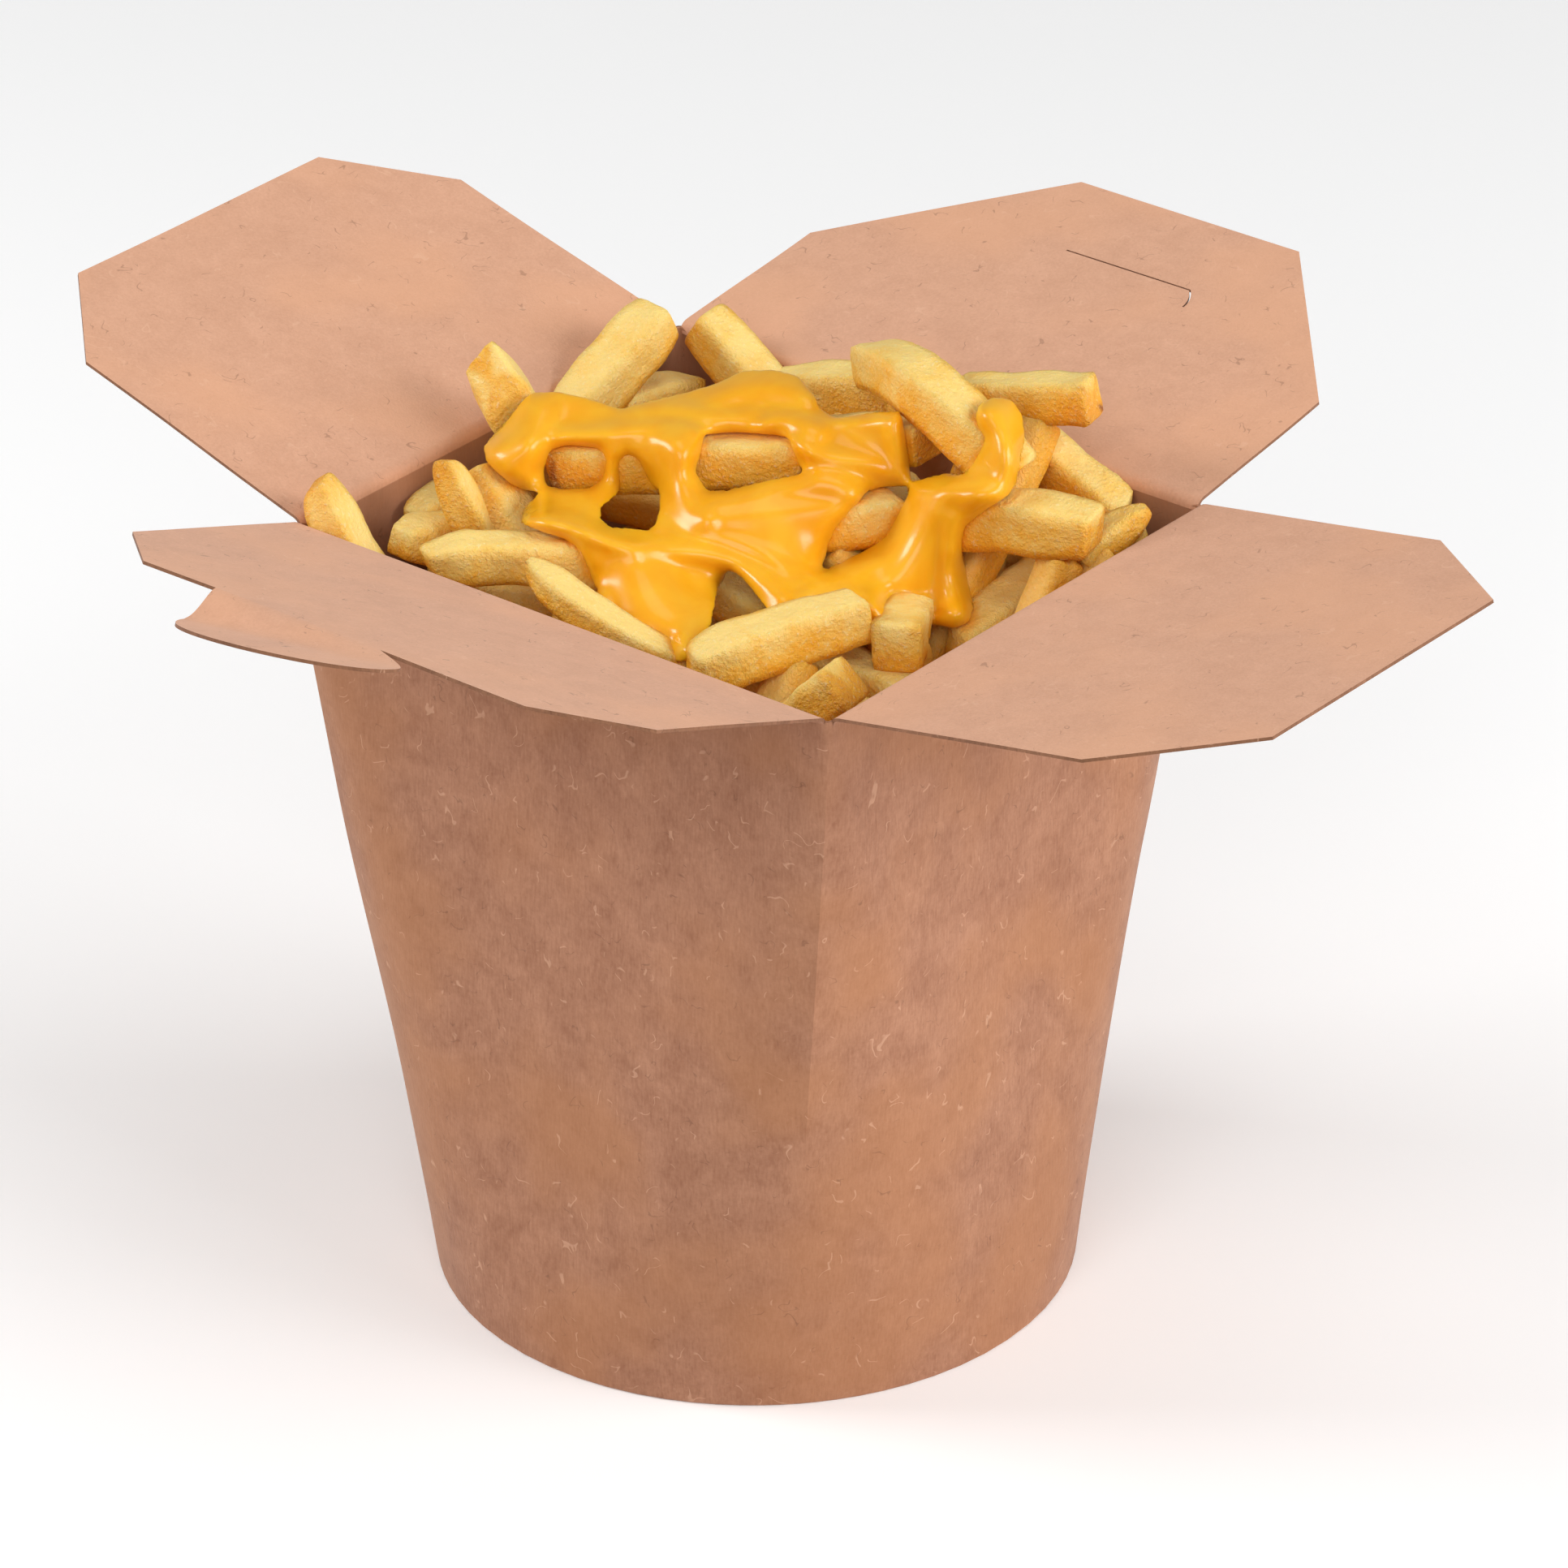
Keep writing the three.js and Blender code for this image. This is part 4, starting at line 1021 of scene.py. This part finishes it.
# Outline of the sauce in the same view, and the places inside it that stay bare.
SAUCE_OUTLINE = [
    (-44.4, 49.4), (-43, 51.2), (-41.3, 52.9), (-38.4, 56.5), (-37, 57.6), (-33.4, 57.8),
    (-28.4, 56.6), (-24.1, 55.2), (-19.8, 56.3), (-14.1, 57.7), (-9.8, 59), (-6.2, 60.8),
    (-1.2, 61), (2.4, 59.9), (4.7, 57), (5.2, 55.2), (7.6, 53.9), (13.8, 54.8), (17.2, 55),
    (17.8, 52), (18.5, 47.2), (18.8, 44.6), (20.9, 45.1), (23.7, 45.8), (26.7, 45.8),
    (27.8, 47.5), (29.2, 50.7), (28.3, 52.1), (28, 54.4), (28.6, 56), (30.9, 57), (33.4, 56.6),
    (35.1, 54.3), (35.5, 51.7), (35.4, 49.6), (34.2, 44.1), (33.1, 42.3), (29.9, 40.3),
    (26.7, 37.7), (26.2, 35.5), (26.7, 32.3), (28.1, 25.8), (27.3, 23.7), (25.3, 22.8),
    (22.5, 23.2), (19, 23.4), (15.5, 22.9), (14.1, 22.5), (12.3, 23), (10.4, 26.8),
    (8.6, 27.6), (6, 26.6), (3.5, 25.7), (-1.9, 24.8), (-6.2, 30.2),
    (-8, 31.4), (-9.6, 28.4), (-10.6, 23.3), (-12.6, 19.2), (-14.8, 17.8), (-16.7, 17.6),
    (-21, 19.6), (-27.4, 24.4), (-27.5, 27.9), (-29.5, 33.1), (-30.5, 34.7), (-32.3, 35.9),
    (-37.7, 37.7), (-39.1, 38.3), (-38.8, 40.1), (-37.7, 41.3), (-36, 42.8), (-37.7, 42.9),
    (-40.2, 43.9), (-42.3, 45.8), (-43.8, 47.2),
]
BARE_PLACES = [
    [(-11.6, 51.2), (-8, 51.6), (-1.2, 51.2), (0.4, 50.7), (1.8, 47.6), (2.7, 45.7),
     (-1.9, 44.8), (-8.7, 43.3), (-11.2, 43.4), (-13, 46), (-12.3, 47.8)],
    [(-24.1, 47.2), (-23, 48.2), (-21.6, 47.6), (-19.7, 44), (-18.4, 42.8), (-18.4, 40.5),
     (-19.1, 38), (-20.2, 37.4), (-25.5, 37.9), (-26.8, 38.9), (-26.6, 40.7), (-24, 42.8)],
    [(12.4, 42.9), (14.9, 43.6), (18.2, 43.6), (17.6, 41.5), (15, 36.5), (12.4, 34.7),
     (9.5, 33.3), (5.8, 31.6), (6.6, 35.1), (7.8, 37.6), (9.2, 39.1)],
    [(-34.2, 49), (-31.7, 49.7), (-27.4, 49.2), (-26.2, 47.6), (-26.8, 44.8), (-28.6, 43.6),
     (-32.8, 43.4), (-34.9, 44), (-35.2, 46)],
]
SAUCE_CELL = 0.4  # size of the cells from which the sauce's surface is made
SAUCE_COVER = 2.1  # sauce on top of a fry
SAUCE_SHEET = 3.2  # thickness of a sheet that spans a gap
SAUCE_EDGE = 2.7  # how far in from its outline the sauce reaches its full thickness
EDGE_DROP = 1.2  # how far its outline lies behind its front
FOLD_RISE = 1.3
SAUCE_SINK = 0.8  # how far the sauce reaches into the fries below it
VALLEY = 2.5  # how widely the valleys between fries are rounded off
SAG_PASSES = 60
SAG_REACH = 0.8  # how widely the sheet is blurred in each pass
HANG = 0.5  # how steeply free sheets hang, 1 for upright
STOP_BACK = 4.0  # how far behind the front of a fry over it the sauce ends
PIN_REACH = 9.0  # how far in front of a bare fry the free sheet may be to be drawn to it
VIEW_LOW = (-49.0, 15.0)  # the part of the view that the sauce takes up
VIEW_HIGH = (39.0, 64.0)
VIEW_STEP = 0.4
VIEW_NEAR = 58.0  # how much nearer than VIEW_REACH the lines of sight start, and where they end
VIEW_FAR = -50.0
SAUCE_BOX = ((-50, -39, 103), (40, 44, 146))


def soft_min(a, b, reach):
    """The smaller of two distances, with the corner between them filled over that reach."""
    overlap = np.maximum(reach - np.abs(a - b), 0) / reach
    return np.minimum(a, b) - overlap * overlap * reach / 4


class DistanceGrid:
    """Distances in millimetres on a grid of small cubes. A body is added inside its own box only,
    because further away it changes nothing."""

    def __init__(self, low, high, cell):
        self.low = np.array(low, float)
        self.cell = cell
        counts = np.ceil((np.array(high) - self.low) / cell).astype(int) + 1
        self.axes = [self.low[k] + cell * np.arange(counts[k]) for k in range(3)]
        self.values = np.full(counts, 9.0, np.float32)

    def window(self, low, high):
        """The part of the grid between two corners, and its points."""
        cuts = []
        for axis, a, b in zip(self.axes, low, high):
            cuts.append(slice(np.searchsorted(axis, a), np.searchsorted(axis, b) + 1))
        points = np.stack(
            np.meshgrid(*[axis[cut] for axis, cut in zip(self.axes, cuts)], indexing="ij"), -1
        )
        return tuple(cuts), points

    def add(self, low, high, distance, reach):
        """Adds a body, given its box and its function of distance."""
        cuts, points = self.window(low, high)
        if points.size:
            self.values[cuts] = soft_min(self.values[cuts], distance(points), reach)

    def between(self, points):
        return grid_value(self.values, self.low, self.cell, points)


def along_stretch(points, start, end):
    """Each point's share along a stretch, and what lies between it and the stretch."""
    run = end - start
    share = np.clip(((points - start) @ run) / (run @ run), 0, 1)
    return share, points - (start + share[..., None] * run)


def bar_distance(start, end, cut):
    """Distance to a square bar with rounded edges along a stretch."""
    run = unit(end - start)
    side, over = crossways(run)
    half = cut / 2 - FRY_EDGE

    def distance(points):
        _, away = along_stretch(points, start, end)
        a = np.abs(away @ side) - half
        b = np.abs(away @ over) - half
        c = np.abs(away @ run)
        outside = np.sqrt(np.maximum(a, 0) ** 2 + np.maximum(b, 0) ** 2 + c**2)
        return outside + np.minimum(np.maximum(a, b), 0) - FRY_EDGE

    return distance


def outline_distance(outline, spots):
    """Distance in the plane to a closed outline: the nearest of its edges, negative where a line
    to the right from the spot crosses an odd number of edges."""
    nearest = np.full(len(spots), np.inf)
    inside = np.zeros(len(spots), bool)
    corners = np.array(outline, float)
    for start, end in zip(corners, np.roll(corners, -1, axis=0)):
        _, away = along_stretch(spots, start, end)
        nearest = np.minimum(nearest, np.linalg.norm(away, axis=-1))
        crosses = (start[1] > spots[:, 1]) != (end[1] > spots[:, 1])
        rise = end[1] - start[1] if end[1] != start[1] else 1.0
        reach = start[0] + (end[0] - start[0]) * (spots[:, 1] - start[1]) / rise
        inside ^= crosses & (spots[:, 0] < reach)
    return np.where(inside, -nearest, nearest)


def view_spots():
    """A grid of spots across the camera's view, in millimetres to the right and up."""
    sides = [np.arange(low, high, VIEW_STEP) for low, high in zip(VIEW_LOW, VIEW_HIGH)]
    return np.stack(np.meshgrid(*sides, indexing="ij"), -1)


def seen(points):
    """Where the camera sees points: the spot in its view, and how much nearer than VIEW_REACH."""
    back = (points - CAMERA_PLACE) @ camera_axes().T
    scale = VIEW_REACH / -back[..., 2:]
    return back[..., :2] * scale, VIEW_REACH + back[..., 2]


def unseen(spots, near):
    """The points that the camera sees at those spots and that near: the reverse of seen."""
    away = VIEW_REACH - np.broadcast_to(near, spots.shape[:-1])[..., None]
    back = np.concatenate([spots * away / VIEW_REACH, -away], -1)
    return CAMERA_PLACE + back @ camera_axes()


def view_value(grid, spots):
    """The value of a grid over the view at each spot."""
    return grid_value(grid, VIEW_LOW, VIEW_STEP, spots)


def first_hit(heap, spots, cover):
    """How near each line of sight first comes within its cover of the heap: by even steps away
    from the camera, with a blend between the last two."""
    step = 0.5
    hit = np.full(spots.shape[:-1], np.nan)
    last = np.full(hit.shape, 9.0)
    for near in np.arange(VIEW_NEAR, VIEW_FAR, -step):
        value = heap.between(unseen(spots, near)) - cover
        found = np.isnan(hit) & (value < 0)
        gap = np.where(found, last - value, 1)
        hit = np.where(found, near - step * value / gap, hit)
        last = value
    return hit


def blurred(grid, reach):
    """Gaussian blur of a grid over the view, its border values carried on outwards."""
    width = int(math.ceil(3 * reach / VIEW_STEP))
    offsets = np.arange(-width, width + 1)
    weights = np.exp(-((offsets * VIEW_STEP / reach) ** 2) / 2)
    weights /= weights.sum()
    for axis in (0, 1):
        margin = [(width, width) if k == axis else (0, 0) for k in (0, 1)]
        padded = np.pad(grid, margin, mode="edge")
        size = grid.shape[axis]
        parts = [np.take(padded, range(k, k + size), axis=axis) for k in range(2 * width + 1)]
        grid = sum(weight * part for weight, part in zip(weights, parts))
    return grid


def draped(rest, inside, bare, stops):
    """A sheet that sags over what it rests on: blurred again and again, and never below it. It
    runs against the backs of the fries over it, its stops. Other spots outside it are free at
    first. Then those where a bare fry is about level with the sheet stay at that fry's skin, so
    that the sheet's edge lies on the fry."""
    known = inside & ~np.isnan(rest)
    share = blurred(known.astype(float), 5)
    mean = blurred(np.where(known, rest, 0), 5) / np.maximum(share, 1e-4)
    typical = rest[known].mean()
    level = np.where(known, rest, np.where(share > 1e-3, mean, typical))
    floor = np.where(known, rest, -1e3)
    stopped = ~np.isnan(stops)
    pinned = stopped
    skin_level = np.where(np.isnan(bare), -1e3, bare)
    skin_level = np.where(stopped, stops, skin_level)
    for _ in range(2):
        for _ in range(SAG_PASSES):
            level = np.maximum(blurred(level, SAG_REACH), floor)
            level = np.where(pinned, skin_level, level)
        pinned = stopped | (~inside & (np.abs(skin_level - level) < PIN_REACH))
    return blurred(level, 0.5)


def fold_height(spots):
    """Height of the folds at each spot: a fold is FOLD_RISE h (1 - (d / w)^2)^1.4 high at the
    distance d from its line, and folds that cross are added by the sixth power."""
    together = np.zeros(spots.shape[:-1])
    for fold in SAUCE_FOLDS:
        height = np.zeros(spots.shape[:-1])
        for start, end in curve_stretches(fold):
            share, away = along_stretch(spots, start[:2], end[:2])
            width = start[2] + (end[2] - start[2]) * share
            top = start[3] + (end[3] - start[3]) * share
            inner = np.maximum(1 - (away * away).sum(-1) / width**2, 0)
            height = np.maximum(height, top * inner**1.4)
        together += (height * FOLD_RISE) ** 6
    return together ** (1 / 6)


def curve_stretches(points):
    """The curve through the points as straight stretches, four for each pair."""
    path = np.array(points, float)
    knots = np.linspace(0, 1, len(path))
    curve = lagrange(path, knots, np.linspace(0, 1, 4 * (len(path) - 1) + 1))
    return list(zip(curve[:-1], curve[1:]))


def surface_of(grid):
    """Surface nets: one point in every cell that the zero level crosses, at the mean of the
    crossings on the cell's edges, and a quad round every grid edge that is crossed."""
    values = grid.values.astype(float)
    inside = values < 0
    cells = tuple(n - 1 for n in values.shape)
    total = np.zeros(cells + (3,))
    count = np.zeros(cells)
    corners = list(np.ndindex(2, 2, 2))
    for first in corners:
        for axis in range(3):
            if first[axis]:
                continue
            second = tuple(1 if k == axis else first[k] for k in range(3))
            a = values[tuple(slice(f, f + n) for f, n in zip(first, cells))]
            b = values[tuple(slice(f, f + n) for f, n in zip(second, cells))]
            crossed = (a < 0) != (b < 0)
            share = np.where(crossed, a / np.where(crossed, a - b, 1), 0)
            offset = np.tile(np.array(first, float), cells + (1,))
            offset[..., axis] += share
            total += offset * crossed[..., None]
            count += crossed
    used = count > 0
    number = np.full(cells, -1)
    number[used] = np.arange(used.sum())
    where = np.argwhere(used)
    points = grid.low + grid.cell * (where + total[used] / count[used][:, None])
    quads = []
    for axis in range(3):
        u, v = [k for k in range(3) if k != axis]
        core = [slice(1, -1)] * 3
        core[axis] = slice(0, -1)
        onward = list(core)
        onward[axis] = slice(1, None)
        start, end = inside[tuple(core)], inside[tuple(onward)]
        edges = np.argwhere(start != end)
        flip = start[tuple(edges.T)]
        edges = edges + [0 if k == axis else 1 for k in range(3)]
        ring = []
        for du, dv in ((-1, -1), (0, -1), (0, 0), (-1, 0)):
            cell = edges.copy()
            cell[:, u] += du
            cell[:, v] += dv
            ring.append(number[tuple(cell.T)])
        quad = np.stack(ring, -1)
        turned = flip if axis != 1 else ~flip
        quad[turned] = quad[turned][:, ::-1]
        quads.append(quad)
    return Shape(points, np.concatenate(quads))


def smoothed(shape, passes):
    """Moves every point halfway to the mean of its neighbours, several times."""
    edges = np.concatenate([shape.quads[:, [k, (k + 1) % 4]] for k in range(4)])
    ends = np.concatenate([edges, edges[:, ::-1]])
    count = np.bincount(ends[:, 0], minlength=len(shape.points))[:, None]
    for _ in range(passes):
        beside = shape.points[ends[:, 1]].T
        sums = [np.bincount(ends[:, 0], values, len(shape.points)) for values in beside]
        shape.points = shape.points * 0.5 + 0.5 * np.stack(sums, -1) / count
    return shape


def heap_distance(fries):
    """Distances to fries, with the valleys between them rounded off."""
    heap = DistanceGrid(*SAUCE_BOX, 0.5)
    for fry in fries:
        points = axis_points(fry.path, np.linspace(0, 1, 2 if len(fry.path) == 2 else 6))
        for start, end in zip(points[:-1], points[1:]):
            margin = fry.cut / 2 + 7
            corners = np.minimum(start, end) - margin, np.maximum(start, end) + margin
            heap.add(*corners, bar_distance(start, end, fry.cut), VALLEY)
    return heap


def pour_sauce(fries):
    """The sauce as a field of distances. Its front is a sheet that sags over the covered fries,
    thin and round towards its outline, with the folds on it. Its back is just inside the fries,
    or a sheet's thickness behind the front where the sauce spans a gap. The sheet is worked out
    with a share of a vertical curtain's slope in the view taken off, so that free edges hang."""
    heap = heap_distance([fry for fry in fries if not fry.over])
    upper = heap_distance([fry for fry in fries if fry.over])
    spots = view_spots()
    flat = spots.reshape(-1, 2)
    edge = outline_distance(SAUCE_OUTLINE, flat)
    for place in BARE_PLACES:
        edge = np.maximum(edge, -outline_distance(place, flat))
    edge = edge.reshape(spots.shape[:-1])
    full = quarter_circle(-edge / SAUCE_EDGE)
    hanging = spots[..., 1] * math.tan(CAMERA_HEIGHT) * HANG
    rest = first_hit(heap, spots, SAUCE_COVER * full)
    bare = first_hit(heap, spots, 0.0)
    stops = first_hit(upper, spots, 0.0) - STOP_BACK
    front = draped(rest - hanging, edge < 0, bare - hanging, stops - hanging) + hanging
    front += blurred(fold_height(spots), 0.5) - EDGE_DROP * (1 - full)
    back = front - SAUCE_SHEET * full
    back = np.where(np.isnan(bare), back, np.maximum(back, bare - SAUCE_SINK))
    sauce = DistanceGrid(*SAUCE_BOX, SAUCE_CELL)
    _, points = sauce.window(*SAUCE_BOX)
    places, near = seen(points)
    over = near - view_value(front, places)
    under = view_value(back, places) - near
    sauce.values = np.maximum(np.maximum(over, under), view_value(edge, places))
    return sauce


# ---- the pieces

inside_colours = srgb(228, 176, 145), srgb(199, 148, 118), srgb(227, 170, 133)
inside_board = kraft("kraft_inside", *inside_colours, 0.42, 0.5)
outside_colours = srgb(185, 135, 106), srgb(138, 89, 63), srgb(173, 117, 77)
outside_board = kraft("kraft_outside", *outside_colours, 0.6, 0.6)
# painted shade: the board's cut edges are coloured darker than its faces, for the shade along them
cut_edge_shade_colours = srgb(150, 104, 76), srgb(110, 72, 50), srgb(130, 88, 60)
shaded_cut_board = kraft("kraft_cut_shaded", *cut_edge_shade_colours, 1.0, 1.0)
potato = fried_potato()
cheese = cheese_sauce_paint()

cup = add_piece("cup_board", make_cup(), [outside_board, inside_board], sharp=13)
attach(cup, "box")
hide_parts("cup")

# Each flap: its name and outline, half its crease, the crease's distance from the middle, and how
# far the flap is turned from the +Y side.
FLAPS = [
    ("slot", SLOT_FLAP, RIM_HALF_X, RIM_HALF_Y, 0, {"slit": True}),
    ("plain_left", PLAIN_LEFT, RIM_HALF_Y, RIM_HALF_X, 90, {}),
    ("tab", TAB_FLAP, RIM_HALF_X, RIM_HALF_Y, 180, {"tab": True}),
    ("plain_right", PLAIN_RIGHT, RIM_HALF_Y, RIM_HALF_X, -90, {}),
]
for order, (name, flap, hinge_half, out, turn, extra) in enumerate(FLAPS):
    shape = make_flap(flap, hinge_half, out, turn, order + 1, **extra)
    piece = add_piece(f"flap_{name}_board", shape, [inside_board, outside_board, shaded_cut_board], sharp=40)
    ends = placed(np.array([[0, -0.4, -FOLD_DROP], [0, FOLD_REACH, 0.4]]), turn, out) * MM
    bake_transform(piece)
    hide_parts(f"flap_{name}")

top_runs = [run for fry in TOP_FRIES for run in stretches(fry)]
laid_runs = drop_fries(top_runs)
hidden_runs = laid_runs + prop_fries(top_runs, laid_runs)
# painted shade: the hidden fries take it for lying deep in the heap
hidden_fries = [Fry([start, end], cut, 0.4, 0.4, heap_depth_shade=0.65) for start, end, cut in hidden_runs]
sauce = pour_sauce(TOP_FRIES + hidden_fries)

shapes = [make_core()]
shapes += [make_fry(fry, index, 32, 44) for index, fry in enumerate(TOP_FRIES)]
shapes += [make_fry(fry, 100 + index, 20, 20) for index, fry in enumerate(hidden_fries)]
heap = joined(shapes)
heap.values["film"] = 1 - smoothstep(sauce.between(heap.points), 0.1, 1.3)
fries = add_piece("fries_heap", heap, [potato])
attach(fries, "box")
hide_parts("fries")

sauce_piece = add_piece("cheese_sauce_pour", smoothed(surface_of(sauce), 4).outward(), [cheese])
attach(sauce_piece, "box")
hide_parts("cheese_sauce")

# ---- stage, light and camera


def add_floor():
    """A wide, flat, pale floor, open on every side so that the box can be seen from all round."""
    points = np.array([[-1.0, -1, 0], [1, -1, 0], [1, 1, 0], [-1, 1, 0]]) * FLOOR_REACH
    paint = Paint("floor", Roughness=0.9, Emission_Color=(1, 1, 1, 1), Emission_Strength=0.1)
    paint.set("Base Color", (0.95, 0.95, 0.95, 1))
    floor = add_piece("floor", Shape(points, np.array([[0, 1, 2, 3]])), [paint.material])


def add_light(name, place, size, power):
    """A square soft light of that size that looks at the food."""
    data = bpy.data.lights.new(name, "AREA")
    data.size = size * MM
    data.energy = power
    light = add_object(name, data)
    target = Vector((0, 0, 100)) * MM
    light.location = Vector(place) * MM
    light.rotation_euler = (target - light.location).to_track_quat("-Z", "Y").to_euler()


def add_camera():
    """The camera at its place, turned by its three axes."""
    data = bpy.data.cameras.new("camera")
    data.lens = LENS
    data.sensor_width = 36.0
    data.clip_end = 20.0
    camera = add_object("camera", data)
    axes = Matrix(camera_axes().T.tolist()).to_4x4()
    camera.matrix_world = Matrix.Translation(CAMERA_PLACE * MM) @ axes
    bpy.context.scene.camera = camera


add_camera()
add_floor()
for light in LIGHTS:
    add_light(*light)
world = bpy.data.worlds.new("studio")
world.use_nodes = True
sky = world.node_tree.nodes["Background"]
sky.inputs["Color"].default_value = (1, 1, 1, 1)
sky.inputs["Strength"].default_value = 0.22
bpy.context.scene.world = world
bpy.context.scene.view_settings.view_transform = "Standard"
